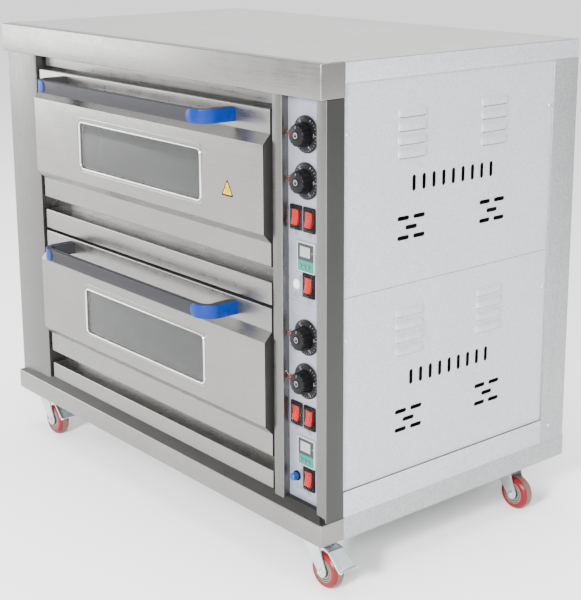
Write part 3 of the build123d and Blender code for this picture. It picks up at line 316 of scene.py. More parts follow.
class Shape:
    """Closed meshes gathered into one piece; each face keeps the number of its finish."""

    def __init__(self):
        self.points, self.faces, self.finish = [], [], []

    def add(self, points, faces, finish=0):
        base = len(self.points)
        self.points += [tuple(p) for p in points]
        self.faces += [tuple(base + i for i in face) for face in faces]
        self.finish += [finish] * len(faces)

    def loft(self, loops, finish=0, closed=False):
        """Join loops of equal length, one after the other, with a cap at each end unless closed."""
        n, count = len(loops[0]), len(loops)
        faces = []
        for a in range(count if closed else count - 1):
            b = (a + 1) % count
            faces += [(a * n + i, a * n + (i + 1) % n, b * n + (i + 1) % n, b * n + i) for i in range(n)]
        if not closed:
            faces += [tuple(range(n))[::-1], tuple((count - 1) * n + i for i in range(n))]
        self.add([p for loop in loops for p in loop], faces, finish)

    def prism(self, outline, axis, a, b, finish=0):
        """Carry an outline along an axis: (y, z) along x, (x, z) along y, (x, y) along z."""
        place = {"x": lambda u, v, w: (w, u, v), "y": lambda u, v, w: (u, w, v),
                 "z": lambda u, v, w: (u, v, w)}[axis]
        self.loft([[place(u, v, w) for u, v in outline] for w in (a, b)], finish)

    def box(self, x0, x1, y0, y1, z0, z1, finish=0):
        self.prism([(x0, y0), (x1, y0), (x1, y1), (x0, y1)], "z", z0, z1, finish)

    def follow(self, profile, path, finish=0, closed=False):
        """Carry a closed (inset, z) profile along a plan path; inset is measured to the path's left."""
        side = normals(path, closed)
        self.loft([[(p[0] + n.x * d, p[1] + n.y * d, z) for d, z in profile] for p, n in zip(path, side)],
                  finish, closed)

    def lathe(self, profile, centre, axis=(0, -1, 0), finish=0, steps=40):
        """Turn (radius, height) points about an axis through centre; both ends should reach radius 0
        or the profile should close on itself."""
        axis = Vector(axis).normalized()
        u = axis.orthogonal().normalized()
        v = axis.cross(u)
        centre = Vector(centre)
        points = [centre + axis * h + (u * cos(2 * pi * s / steps) + v * sin(2 * pi * s / steps)) * r
                  for s in range(steps) for r, h in profile]
        n = len(profile)
        faces = []
        for s in range(steps):
            t = (s + 1) % steps
            faces += [(s * n + i, s * n + (i + 1) % n, t * n + (i + 1) % n, t * n + i)
                      for i in range(n if profile[0][0] > 1e-6 else n - 1)]
        self.add(points, faces, finish)

    def make(self, name, node, finishes, soften=0.0, sharp=38, also=()):
        """Turn the gathered meshes into an object that stands for a CAD node and rides on its body."""
        mesh = bpy.data.meshes.new(name)
        mesh.from_pydata([tuple(c * MM for c in p) for p in self.points], [], self.faces)
        mesh.polygons.foreach_set("material_index", self.finish)
        for material in finishes:
            mesh.materials.append(material)
        return attach(name, mesh, node, soften, sharp, also)


def smooth(mesh, soften=0.0, sharp=38):
    """Merge doubles, turn normals outwards, round the sharp edges, and shade by angle."""
    shape = bmesh.new()
    shape.from_mesh(mesh)
    bmesh.ops.remove_doubles(shape, verts=shape.verts, dist=2e-6)
    bmesh.ops.dissolve_degenerate(shape, edges=shape.edges, dist=1e-6)
    bmesh.ops.recalc_face_normals(shape, faces=shape.faces)
    if soften:
        edges = [e for e in shape.edges if len(e.link_faces) == 2 and e.calc_face_angle(0) > radians(30)]
        bmesh.ops.bevel(shape, geom=edges, offset=soften * MM, segments=2, profile=0.6, affect="EDGES",
                        clamp_overlap=True)
    for face in shape.faces:
        face.smooth = True
    for edge in shape.edges:
        edge.smooth = len(edge.link_faces) == 2 and edge.calc_face_angle(0) < radians(sharp)
    shape.to_mesh(mesh)
    shape.free()


def attach(name, mesh, node, soften, sharp, also=()):
    smooth(mesh, soften, sharp)
    piece = bpy.data.objects.new(name, mesh)
    bpy.context.scene.collection.objects.link(piece)
    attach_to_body(piece, NODES[node]["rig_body"])
    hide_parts(node, *also)
    return piece


def softened(node, finish, width=0.5, sharp=38):
    """A CAD node's own shape with its sharp edges rounded, in a better finish."""
    mesh = NODES[node].data.copy()
    mesh.name = node + "_soft"
    mesh.materials.clear()
    mesh.materials.append(finish)
    shape = bmesh.new()
    shape.from_mesh(mesh)
    bmesh.ops.remove_doubles(shape, verts=shape.verts, dist=2e-6)
    bmesh.ops.dissolve_limit(shape, angle_limit=radians(1), verts=shape.verts, edges=shape.edges)
    for face in shape.faces:
        face.material_index = 0
    shape.to_mesh(mesh)
    shape.free()
    return attach(node + "_soft", mesh, node, width, sharp)


def cut(piece, cutter):
    """Take the cutter's closed meshes out of the piece."""
    mesh = bpy.data.meshes.new("cutter")
    mesh.from_pydata([tuple(c * MM for c in p) for p in cutter.points], [], cutter.faces)
    smooth(mesh)
    tool = bpy.data.objects.new("cutter", mesh)
    bpy.context.scene.collection.objects.link(tool)
    step = piece.modifiers.new("cut", "BOOLEAN")
    step.operation, step.solver, step.object = "DIFFERENCE", "EXACT", tool
    step.use_self = True
    result = bpy.data.meshes.new_from_object(piece.evaluated_get(bpy.context.evaluated_depsgraph_get()))
    piece.modifiers.clear()
    piece.data = result
    bpy.data.objects.remove(tool)
    smooth(piece.data)
    return piece


U_PATH = fillet([(LEFT, Y_SIDE), (LEFT, FRONT), (RIGHT, FRONT), (RIGHT, Y_SIDE)], 3.0, steps=5)
BEND = 2.5
front_frame = Shape()
for low, high in ((Z_CANOPY, Z_TOP), (Z_TRAY, Z_FLOOR)):
    band = thick(fillet([(7, low), (0, low), (0, high), (7, high)][::-1], BEND))
    front_frame.follow(band, U_PATH)
# canopy: short fold on top, closing sheet below
front_frame.box(LEFT + 5, RIGHT - 5, FRONT + 5, Y_ROOF, Z_TOP - SHEET, Z_TOP - 0.05)
front_frame.box(LEFT + 5, RIGHT - 5, FRONT + 5, Y_SIDE - 1, Z_CANOPY, Z_CANOPY + SHEET)
# base: sloping sill, hipped down to the corners, in a much darker copy of the stainless: a painted dark
# reflection
SILL = 16.0
HIP = 130.0
for x_end, x_ridge in ((LEFT, LEFT + HIP), (RIGHT, X_CONTROL_RIGHT)):
    front_frame.loft([[(x_end, FRONT + 1.2, z0), (x_ridge, Y_LEDGE, z0 + SILL),
                       (x_ridge, Y_MOUTH + 3, z0 + SILL),
                       (x_end, Y_MOUTH + 3, z0)] for z0 in (Z_FLOOR - 1.5, Z_FLOOR + 0.1)], 1)
sill_profile = fillet([(FRONT + 1.0, Z_FLOOR - 0.4), (Y_LEDGE, Z_FLOOR + SILL),
                       (Y_MOUTH + 3, Z_FLOOR + SILL)], 3)


def sill_span(y, z):
    """How far the sill runs left and right at a height, along its two hips."""
    rise = max(0.0, (z - Z_FLOOR) / SILL)
    return LEFT + 1.5 + (HIP - 1.5) * rise, RIGHT - 1.5 - (RIGHT - 1.5 - X_CONTROL_RIGHT) * rise


front_frame.loft([[(x, y, z) for y, z in thick(sill_profile, -1.6) for x in (sill_span(y, z)[end],)]
                  for end in (0, 1)], 1)
front_frame.make("front_frame", "front_fascias", [steel_x, sill_painted_dark_reflection])

pillars = Shape()
for path in ([(X_OPEN, Y_MOUTH), (X_OPEN, Y_PILLAR), (LEFT, Y_PILLAR), (LEFT, Y_SIDE), (LEFT + 8, Y_SIDE)],
             [(RIGHT - 8, Y_SIDE), (RIGHT, Y_SIDE), (RIGHT, Y_PILLAR), (X_CONTROL_RIGHT, Y_PILLAR),
              (X_CONTROL_RIGHT, Y_PANEL + SHEET)]):
    pillars.prism(thick(fillet(path, BEND), -SHEET), "z", Z_FLOOR + 0.4, Z_CANOPY - 0.2)
# faces on the outer sides get the darker copy of the steel: painted shade by which way the face turns
for i, face in enumerate(pillars.faces):
    if all(not LEFT + 1 < pillars.points[k][0] < RIGHT - 1 for k in face):
        pillars.finish[i] = 1
pillars.make("pillar_pair", "front_pillars", [steel_z, flank_painted_shade])

stile = Shape()
stile.prism(thick(fillet([(X_CONTROL_LEFT, Y_PANEL + SHEET), (X_CONTROL_LEFT, Y_PILLAR), (X_STILE, Y_PILLAR),
                          (X_STILE, Y_MOUTH)], BEND), -SHEET), "z", Z_FLOOR + 10, Z_CANOPY - 0.2)
stile.make("stile", "centre_stile", [steel_z])

# ==== Roof ========================================================================================
# One stainless sheet laid behind the canopy's fold and turned down at the back; a hairline seam
# runs across the front and three countersunk screws hold it near each side.
DEPTH = BACK - FRONT
# its stainless is the lighter copy of the front's: painted light on the top face
roof = Shape()
roof.prism(thick(fillet([(BACK, Z_RAIL), (BACK, Z_TOP), (Y_ROOF + SEAM, Z_TOP)], BEND)), "x",
           LEFT + 2.6, RIGHT - 2.6)
roof.make("roof_sheet", "roof_panel", [roof_painted_light])

# ==== Side rails, rear posts, base tray and back ==================================================
# Spangled zinc-coated sheet: a rail under the roof and a skirt on each side, and two plates that
# close the back. The rear corner posts and the tray that carries the casters are duller sheet.
for node, finish in (("side_rails", zinc_sheet), ("rear_posts", dull_sheet), ("base_tray", dull_sheet)):
    softened(node, finish, 0.45)
softened("back_panels", zinc_sheet, 0.3)

# ==== Side panels =================================================================================
# Two zinc-coated sheets a side, screwed to the pillar and the rear post. Each has two columns of
# pressed louvres, a row of nine upright slots and two groups of five short slots.
DOOR_TOPS = (964.0, 560.0)
Z_SPLIT = 610.0
PANEL_Y0, PANEL_Y1 = Y_SIDE + SEAM, 321.0
PANEL_RECESS, PANEL_SHEET = 4, 1.2
LOUVRE_COLUMNS = (0.326 * DEPTH, 0.645 * DEPTH)
LOUVRE_ROWS, LOUVRE_PITCH, LOUVRE_DROP = 4, 27, 6
SLOT_ACROSS, SLOT_UP, SLOT_DROP = 22, 20, 238
VENT_COUNT, VENT_PITCH, VENT_DROP = 9, 28, 150


def slot_outline(y, z, run, high, steps=6):
    """An oblong with round ends, in the plane of the side panel."""
    radius = min(run, high) / 2
    dy, dz = run / 2 - radius, high / 2 - radius
    points = []
    for k in range(2 * steps + 2):
        turn = pi * (k if k <= steps else k - 1) / steps
        if dy > dz:
            side = 1 if k > steps else -1
            points.append((y + side * dy + radius * cos(turn + pi / 2), z + radius * sin(turn + pi / 2)))
        else:
            side = -1 if k > steps else 1
            points.append((y + radius * cos(turn), z + side * dz + radius * sin(turn)))
    return points


def hood(shape, x, outward, y, z, width=80.0, height=20.0, proud=3.85):
    """A pressed louvre: the sheet swells outwards towards its lower edge, where it is slit."""
    columns, rows = 24, 10
    skin = []
    for i in range(columns + 1):
        u = sin(pi / 2 * (i / columns * 2 - 1))
        across = max(0.0, 1 - u ** 6) ** 0.6
        for k in range(rows + 1):
            v = k / rows
            swell = proud * across * sin(min(1.0, v / 0.6) * pi / 2) ** 1.3
            drop = (height * (0.5 - v)) * (0.82 + 0.18 * across)
            skin.append((x + outward * (swell - 0.05), y + u * width / 2, z + drop))
    back_skin = [(px - outward * 0.9, py, pz) for px, py, pz in skin]
    n = rows + 1
    faces = [(i * n + k, i * n + k + 1, (i + 1) * n + k + 1, (i + 1) * n + k)
             for i in range(columns) for k in range(rows)]
    base = len(skin)
    faces += [tuple(base + a for a in f[::-1]) for f in faces]
    rim = [k for k in range(n)] + [i * n + rows for i in range(1, columns + 1)] \
        + [columns * n + k for k in range(rows - 1, -1, -1)] + [i * n for i in range(columns - 1, 0, -1)]
    faces += [(a, b, base + b, base + a) for a, b in zip(rim, rim[1:] + rim[:1])]
    shape.add(skin + back_skin, faces)


panels, hoods, holes = Shape(), Shape(), Shape()
for x_face, outward in ((LEFT + PANEL_RECESS, -1), (RIGHT - PANEL_RECESS, 1)):
    x0, x1 = sorted((x_face, x_face - outward * PANEL_SHEET))
    panels.box(x0, x1, PANEL_Y0, PANEL_Y1, Z_SKIRT + SEAM, Z_SPLIT - SEAM)
    panels.box(x0, x1, PANEL_Y0, PANEL_Y1, Z_SPLIT + SEAM, Z_RAIL - SEAM)
    for top in DOOR_TOPS:
        for column in LOUVRE_COLUMNS:
            y = FRONT + column
            for row in range(LOUVRE_ROWS):
                z = top - LOUVRE_DROP - LOUVRE_PITCH * row
                hood(hoods, x_face, outward, y, z)
                holes.box(x_face - 2, x_face + 2, y - 34, y + 34, z - 11.8, z - 6)
            for across, up in ((-1, 1), (1, 1), (0, 0), (-1, -1), (1, -1)):
                holes.prism(slot_outline(y + across * SLOT_ACROSS, top - SLOT_DROP + up * SLOT_UP, 33, 9.0),
                            "x", x_face - 3, x_face + 3)
        for i in range(VENT_COUNT):
            y = FRONT + sum(LOUVRE_COLUMNS) / 2 + (i - VENT_COUNT // 2) * VENT_PITCH
            holes.prism(slot_outline(y, top - VENT_DROP, 10.5, 33), "x", x_face - 3, x_face + 3)
cut(panels.make("side_sheets", "side_panels", [zinc_sheet]), holes)
hoods.make("louvre_hoods", "side_panels", [zinc_sheet], sharp=60)

# ==== Deck fronts =================================================================================
# Behind and below each door: folded stainless ledges, the strip over the upper door, and the frame
# round each chamber's mouth.
X_DOOR, DOOR_WIDTH, DOOR_HEIGHT = -480.0, 898.0, 318.0
X_MID = X_DOOR + DOOR_WIDTH / 2
CHAMBER_HALF = 430
CHAMBER = (X_MID - CHAMBER_HALF, X_MID + CHAMBER_HALF)
decks = Shape()
for i, top in enumerate(DOOR_TOPS):
    ledge = top - DOOR_HEIGHT - 32
    strip = DOOR_TOPS[1] + 6 if i == 0 else Z_FLOOR + SILL
    path = [(Y_MOUTH, ledge), (Y_LEDGE, ledge), (Y_LEDGE, strip)] + ([(Y_MOUTH, strip)] if i == 0 else [])
    decks.prism(thick(fillet(path, BEND), 1.5), "x", X_DOOR, X_DOOR + DOOR_WIDTH)
    low, high = (566.0, Z_CANOPY) if i == 0 else (Z_FLOOR, 565.5)
    mouth_low, mouth_high = top - DOOR_HEIGHT + 12, top - 22
    x0, x1 = X_OPEN - 20, X_STILE + 20
    for box in ((x0, CHAMBER[0], low, high), (CHAMBER[1], x1, low, high),
                (CHAMBER[0], CHAMBER[1], low, mouth_low),
                (CHAMBER[0], CHAMBER[1], mouth_high, high)):
        decks.box(box[0], box[1], Y_MOUTH, Y_MOUTH + SHEET, box[2], box[3])
decks.prism(thick(fillet([(Y_MOUTH, Z_HEADER), (Y_HEADER, Z_HEADER), (Y_HEADER, Z_CANOPY)], 2.0), -1.5)[::-1],
            "x", X_DOOR, X_DOOR + DOOR_WIDTH)
decks.make("deck_fronts_folded", "deck_fronts", [steel_x])

# ==== Chambers, hearths and heating rods ==========================================================
# Inside each door: a zinc-coated liner darkened by baking, a thick steel hearth plate on side
# rails, and five sheathed rods below it and five under the ceiling. Mineral wool fills the walls.
for deck in ("upper", "lower"):
    softened(f"{deck}_chamber", liner_steel, 0.4)
softened("hearth_plates", hearth_steel, 1.0)
softened("heating_elements", element_skin, 0.4)
softened("insulation", wool, 4.0)

# ==== Doors =======================================================================================
# Each door is a folded stainless skin with a raised middle, sloped above and below, over an inner
# pan that carries the hinge blocks. The double-glazed window sits in a rolled bead.
Y_DOOR, Y_BOSS, Y_SKIN_BACK = -319.5, -338.0, -293.5
BOSS_DROP, BOSS_BEVEL = 49.0, 20.0
WINDOW = (478.0, 107.0, 10.0)
glass_tint = bpy.data.materials.new("window_glass")
glass_tint.use_nodes = True
pane = glass_tint.node_tree.nodes["Principled BSDF"]
for label, value in (("Metallic", 0.0), ("Alpha", 0.62), ("Specular IOR Level", 0.28)):
    pane.inputs[label].default_value = value
film = glass_tint.node_tree.nodes.new("ShaderNodeGroup")
film.node_tree = moulded
film.inputs["Colour"].default_value = (0.045, 0.047, 0.046, 1)
film.inputs["Roughness"].default_value = 0.06
glass_tint.node_tree.links.new(film.outputs["Roughness"], pane.inputs["Roughness"])
glass_tint.node_tree.links.new(film.outputs["Colour"], pane.inputs["Base Color"])
# door side walls in a darker copy of the door's stainless: painted shade on the sideways faces
door_edge_painted_shade = surface("door_edge_steel_painted_shade", (0.10, 0.098, 0.095), 0.9, 0.4, brushed, stretch=ALONG_Z)
warning_yellow = surface("label_yellow", (0.50, 0.33, 0.0), 0.0, 0.4, moulded, bump=0.02,
                         Specular_IOR_Level=0.05)


def round_rect(width, height, radius, grow=0.0, x=X_MID, z=0.0, steps=8):
    """A rectangle with round corners, as (x, z) points."""
    a, b = width / 2 + grow, height / 2 + grow
    corners = [(x - a, z - b), (x + a, z - b), (x + a, z + b), (x - a, z + b)]
    return fillet(corners, max(radius + grow, 0.5), closed=True, steps=steps)


for deck, top in zip(("upper", "lower"), DOOR_TOPS):
    z0, z1 = top - DOOR_HEIGHT, top
    z_mid = (z0 + z1) / 2
    x0, x1 = X_DOOR, X_DOOR + DOOR_WIDTH
    corners = [(Y_SKIN_BACK, z0), (Y_DOOR, z0), (Y_DOOR, z0 + BOSS_DROP),
               (Y_BOSS, z0 + BOSS_DROP + BOSS_BEVEL), (Y_BOSS, z1 - BOSS_DROP - BOSS_BEVEL),
               (Y_DOOR, z1 - BOSS_DROP), (Y_DOOR, z1), (Y_SKIN_BACK, z1)]
    profile = fillet(corners, 2.6)
    skin = Shape()
    skin.prism(thick(profile, -SHEET), "x", x0, x1)
    cutter = Shape()
    cutter.prism(round_rect(*WINDOW, grow=-0.5, z=z_mid), "y", Y_BOSS - 8, Y_BOSS + 12)
    door = skin.make(f"{deck}_door_sheet", f"{deck}_door_skin", [steel_x])
    cut(door, cutter)
    # side walls, rivets, window bead and label ride with the skin; the side walls take a darker copy of the
    # stainless, painted shade
    trim = Shape()
    wall = fillet([(y, z) for y, z in corners], 2.6)
    for x in (x0, x1 - 1.2):
        trim.prism([(y + (0.4 if y < Y_SKIN_BACK else 0), z) for y, z in wall], "x", x, x + 1.2, 1)
    for x, outward in ((x0, -1), (x1, 1)):
        for z in (z0 + 40, z0 + 150, z1 - 66):
            trim.lathe([(0, 0.9), (1.6, 0.8), (2.6, 0), (0, 0)], (x, Y_DOOR + 12, z), (outward, 0, 0), 0, 16)
    # the inner ridge and the glass lip take the lighter steel, a painted highlight; the outer ridge is plain
    # stainless
    for grow, wide, proud, finish in ((1.6, 5.2, 3.4, 4), (10.5, 8.0, 1.1, 0)):
        ring = round_rect(*WINDOW, grow=grow, z=z_mid)
        dome = [(wide / 2 * cos(pi * k / 8), proud * sin(pi * k / 8)) for k in range(9)]
        trim.loft([[(p[0] + n.x * d, Y_BOSS + 0.4 - h, p[1] + n.y * d) for d, h in dome]
                   for p, n in zip(ring, normals(ring, True))], finish, True)
    ring = round_rect(*WINDOW, z=z_mid)
    lip = [(-0.9, -1.6), (0.4, -1.6), (0.4, 4.5), (-0.9, 4.5)]
    trim.loft([[(p[0] + n.x * d, Y_BOSS + h, p[1] + n.y * d) for d, h in lip]
               for p, n in zip(ring, normals(ring, True))], 4, True)
    if deck == "upper":
        cx, cz, r = X_MID + 332, z_mid - 14, 20.0
        tri = [(cx - r, cz - r * 0.8), (cx + r, cz - r * 0.8), (cx, cz + r * 0.95)]
        inner = [(cx + (x - cx) * 0.76, cz + (z - cz) * 0.76 - 0.4) for x, z in tri]
        trim.prism(fillet(tri, 2.0, True), "y", Y_BOSS - 0.25, Y_BOSS + 0.3, 2)
        trim.prism(fillet(inner, 1.4, True), "y", Y_BOSS - 0.4, Y_BOSS + 0.3, 3)
        for k in (-1, 0, 1):
            wave = [(cx + k * 5 + 1.1 * sin(t * 2 * pi), cz - 10 + 14 * t) for t in [q / 8 for q in range(9)]]
            trim.prism(thick(wave, 1.3), "y", Y_BOSS - 0.5, Y_BOSS + 0.3, 2)
    trim.make(f"{deck}_door_trim", f"{deck}_door_skin",
              [steel_x, door_edge_painted_shade, black_case, warning_yellow, bead_painted_highlight])
    softened(f"{deck}_door_liner", liner_steel, 0.4)
    softened(f"{deck}_door_glass", glass_tint, 0.4)

# ==== Door handles ================================================================================
# A stiff dark-grey moulded channel bent back to the door at both ends, with a blue cap clipped over
# the outside of each bend; a screw from inside the door holds each end.
HANDLE_REACH, HANDLE_SPAN, HANDLE_DROP, HANDLE_CORNER = 84.0, 678.0, 22, 42
grip_grey = surface("grip_grey", (0.017, 0.017, 0.020), 0.0, 0.42, moulded, bump=0.1, Specular_IOR_Level=0.1)
cap_blue = surface("cap_blue", (0.0, 0.016, 0.13), 0.0, 0.3, moulded, bump=0.05, Specular_IOR_Level=0.15)


def rounded_section(width, height, radius, steps=5):
    """A closed rectangle with round corners about (0, 0)."""
    a, b = width / 2, height / 2
    return fillet([(-a, -b), (a, -b), (a, b), (-a, b)], radius, True, steps)


for deck, top in zip(("upper", "lower"), DOOR_TOPS):
    y_front = Y_DOOR - HANDLE_REACH
    z_grip = top - HANDLE_DROP
    x_left, x_right = X_MID - HANDLE_SPAN / 2, X_MID + HANDLE_SPAN / 2
    bow = fillet([(x_left, Y_DOOR), (x_left, y_front), (x_right, y_front), (x_right, Y_DOOR)],
                 HANDLE_CORNER, steps=14)
    handle = Shape()
    # the bar: a channel open towards the door, bent back at both ends
    channel = fillet([(13, 15.2), (2.2, 15.2), (2.2, -15.2), (13, -15.2)], 3.0)
    handle.follow([(d, z_grip + h) for d, h in thick(channel, 2.6)], bow, 0)
    # a foot that thickens towards the door, and a cap outside each bend with a bullet nose
    right_half = [p for p in bow if p[0] > X_MID]
    start = [(right_half[0][0] - 14, y_front)] + right_half
    for mirror in (1, -1):
        foot = [(X_MID + mirror * (x - X_MID), y) for x, y in right_half]
        handle.loft([[(p[0] + mirror * n.x * (5.2 + d * (2 + 17 * k / len(foot))),
                       p[1] + mirror * n.y * (5.2 + d * (2 + 17 * k / len(foot))), z_grip + h)
                      for d, h in ((0, -14), (1, -13.4), (1, 14.6), (0, 15.2))]
                     for k, (p, n) in enumerate(zip(foot, normals(foot)))])
        path = [(X_MID + mirror * (x - X_MID), y) for x, y in start]
        turned = mirror < 0
        loops = []
        stations = [(0.0, 0.2), (1.2, 0.5), (3.5, 0.75), (7.5, 0.93), (13.5, 1.0)]
        walls = normals(path)
        for run, share in stations:
            x = start[0][0] + run
            tall = 15.0 * share
            loops.append([(X_MID + mirror * (x - X_MID), y_front + d, z_grip + h)
                          for d, h in rounded_section(5.0, 2 * tall - 1, 1.8)])
        loops = [[(px, py + 2.5, pz) for px, py, pz in loop] for loop in loops]
        for p, n in list(zip(path, walls))[1:]:
            inward = -1 if turned else 1
            loops.append([(p[0] + inward * n.x * (d + 2.5), p[1] + inward * n.y * (d + 2.5), z_grip + h)
                          for d, h in rounded_section(5.0, 29.0, 1.8)])
        handle.loft(loops, 1)
    handle.make(f"{deck}_handle", f"{deck}_door_handle", [grip_grey, cap_blue], sharp=50)

# ==== Control panels ==============================================================================
# Two painted plates beside the doors, one a deck, each with fine printed outlines in place of words.
# A white blanking plug closes the upper plate's spare hole.
panel_paint = surface("panel_lilac", (0.19, 0.20, 0.24), 0.35, 0.38, moulded, bump=0.04)
plug_white = surface("plug_white", (0.5, 0.49, 0.44), 0.0, 0.35, moulded, bump=0.03)
PANEL_BACK = Y_PANEL + SHEET
X_KNOB, X_LAMP, X_TIMER = 514.0, 468.0, 510.0
KNOB_DROPS, SWITCH_DROP, TIMER_DROP, POWER_DROP, BUTTON_DROP = (38.5, 129.0), 205, 281, 336, 340
KNOB_Z = [top - drop for top in DOOR_TOPS for drop in KNOB_DROPS]
SWITCHES = [[(483.0, top - SWITCH_DROP), (523.0, top - SWITCH_DROP), (521.0, top - POWER_DROP)]
            for top in DOOR_TOPS]
TIMER_Z = [top - TIMER_DROP for top in DOOR_TOPS]
X_BUTTON, BUTTON_Z = 483.0, [top - BUTTON_DROP for top in DOOR_TOPS]
PRINT_BACK, PRINT_FRONT = Y_PANEL + 0.3, Y_PANEL - 0.15

plates, openings = Shape(), Shape()
for low, high in ((590.5, Z_CANOPY), (Z_FLOOR + SILL, 590.0)):
    plates.box(X_CONTROL_LEFT, X_CONTROL_RIGHT, Y_PANEL, PANEL_BACK, low, high)
for places in SWITCHES:
    for x, z in places:
        openings.box(x - 12.8, x + 12.8, Y_PANEL - 2, PANEL_BACK + 2, z - 19.3, z + 19.3)
for z in TIMER_Z:
    openings.box(X_TIMER - 21, X_TIMER + 21, Y_PANEL - 2, PANEL_BACK + 2, z - 28, z + 28)
openings.lathe([(0, -4), (7.8, -4), (7.8, 4), (0, 4)], (X_BUTTON, Y_PANEL, BUTTON_Z[1]), steps=24)
painted = plates.make("control_plates", "control_panels", [panel_paint])
cut(painted, openings)

prints = Shape()


def printed_frame(x, z, width, height, line=0.7):
    """A thin printed rectangle on the plate."""
    for dx, dz, w, h in ((0, height / 2, width, line), (0, -height / 2, width, line),
                         (width / 2, 0, line, height + line), (-width / 2, 0, line, height + line)):
        prints.box(x + dx - w / 2, x + dx + w / 2, PRINT_FRONT, PRINT_BACK, z + dz - h / 2, z + dz + h / 2)


for top, places in zip(DOOR_TOPS, SWITCHES):
    for x, z in places:
        printed_frame(x, z - 31, 9, 7)
        prints.box(x - 2.5, x + 2.5, PRINT_FRONT, PRINT_BACK, z - 31.4, z - 30.6)
    for z in [top - drop for drop in KNOB_DROPS]:
        for k in range(3):
            prints.box(X_LAMP - 3 + 2.4 * k, X_LAMP - 1.8 + 2.4 * k, PRINT_FRONT, PRINT_BACK, z - 20, z - 17)
    printed_frame(X_TIMER + 3, top - TIMER_DROP, 57, 65, 0.6)
    prints.lathe([(5.2, 0.15), (6.0, 0.15), (6.0, -0.3), (5.2, -0.3)], (X_BUTTON, Y_PANEL, top - 362),
                 steps=24)
    prints.box(X_BUTTON - 0.4, X_BUTTON + 0.4, PRINT_FRONT, PRINT_BACK, top - 365, top - 358)
prints.make("control_prints", "control_panels", [dark_ink])
plug = Shape()
plug.lathe([(0, 3.0), (6, 2.8), (9.4, 1.8), (10.4, 0.4), (10.4, -0.2), (8.0, -0.3), (8.0, -4), (0, -4)],
           (X_BUTTON, Y_PANEL, BUTTON_Z[0]))
plug.make("blanking_plug", "control_panels", [plug_white])

# ==== Lamps, dials and thermostats ================================================================
# Each dial has a domed red lamp in a chrome ring at its upper left. The dial is a black moulding: a
# printed skirt, a fluted cap and a ringed disc on its face, pushed on the thermostat's shaft.
chrome = surface("chrome_ring", (0.7, 0.7, 0.72), 1.0, 0.12, moulded, bump=0.01)
red_lens = surface("red_lens", (0.17, 0.002, 0.004), 0.0, 0.2, moulded, bump=0.02, Specular_IOR_Level=0.3)
lamps = Shape()
for z in KNOB_Z:
    at = (X_LAMP, Y_PANEL, z - 3)
    lamps.lathe([(5.2, 1.0), (5.8, 3.2), (7.2, 3.6), (8.3, 2.6), (8.6, 0.2), (5.2, 0.1)], at, finish=0)
    lamps.lathe([(0, 8.2), (1.8, 8.0), (3.6, 7.0), (4.9, 5.2), (5.4, 3.0), (5.4, 0.3), (0, 0.3)],
                at, finish=1)
    lamps.lathe([(0, -0.2), (5.8, -0.2), (5.8, -20), (4, -22), (0, -22)], at, finish=2)
lamps.make("lamp_set", "indicator_lamps", [chrome, red_lens, black_case])
softened("thermostats", dark_case, 1.2)


def digits(text, size, centre, turn):
    """Numbers for a dial's scale, as thin mesh faces standing on the skirt."""
    curve = bpy.data.curves.new("digits", "FONT")
    curve.body, curve.size, curve.extrude = text, size * MM, 0.0
    curve.align_x, curve.align_y = "CENTER", "CENTER"
    curve.resolution_u = 3
    holder = bpy.data.objects.new("digits", curve)
    mesh = bpy.data.meshes.new_from_object(holder)
    bpy.data.objects.remove(holder)
    bpy.data.curves.remove(curve)
    facing = Matrix(((1, 0, 0), (0, 0, -1), (0, 1, 0)))
    spin = Matrix.Rotation(-turn, 3, "Y")
    points = [spin @ (facing @ Vector(v.co / MM)) + Vector(centre) for v in mesh.vertices]
    faces = [tuple(p.vertices) for p in mesh.polygons]
    bpy.data.meshes.remove(mesh)
    n = len(points)
    lifted = [p + Vector((0, 0.18, 0)) for p in points]
    border = {}
    for f in faces:
        for a, b in zip(f, f[1:] + f[:1]):
            if (b, a) in border:
                del border[(b, a)]
            else:
                border[(a, b)] = True
    walls = [(b, a, a + n, b + n) for a, b in border]
    return [tuple(p) for p in points + lifted], faces + [tuple(n + i for i in f[::-1]) for f in faces] + walls


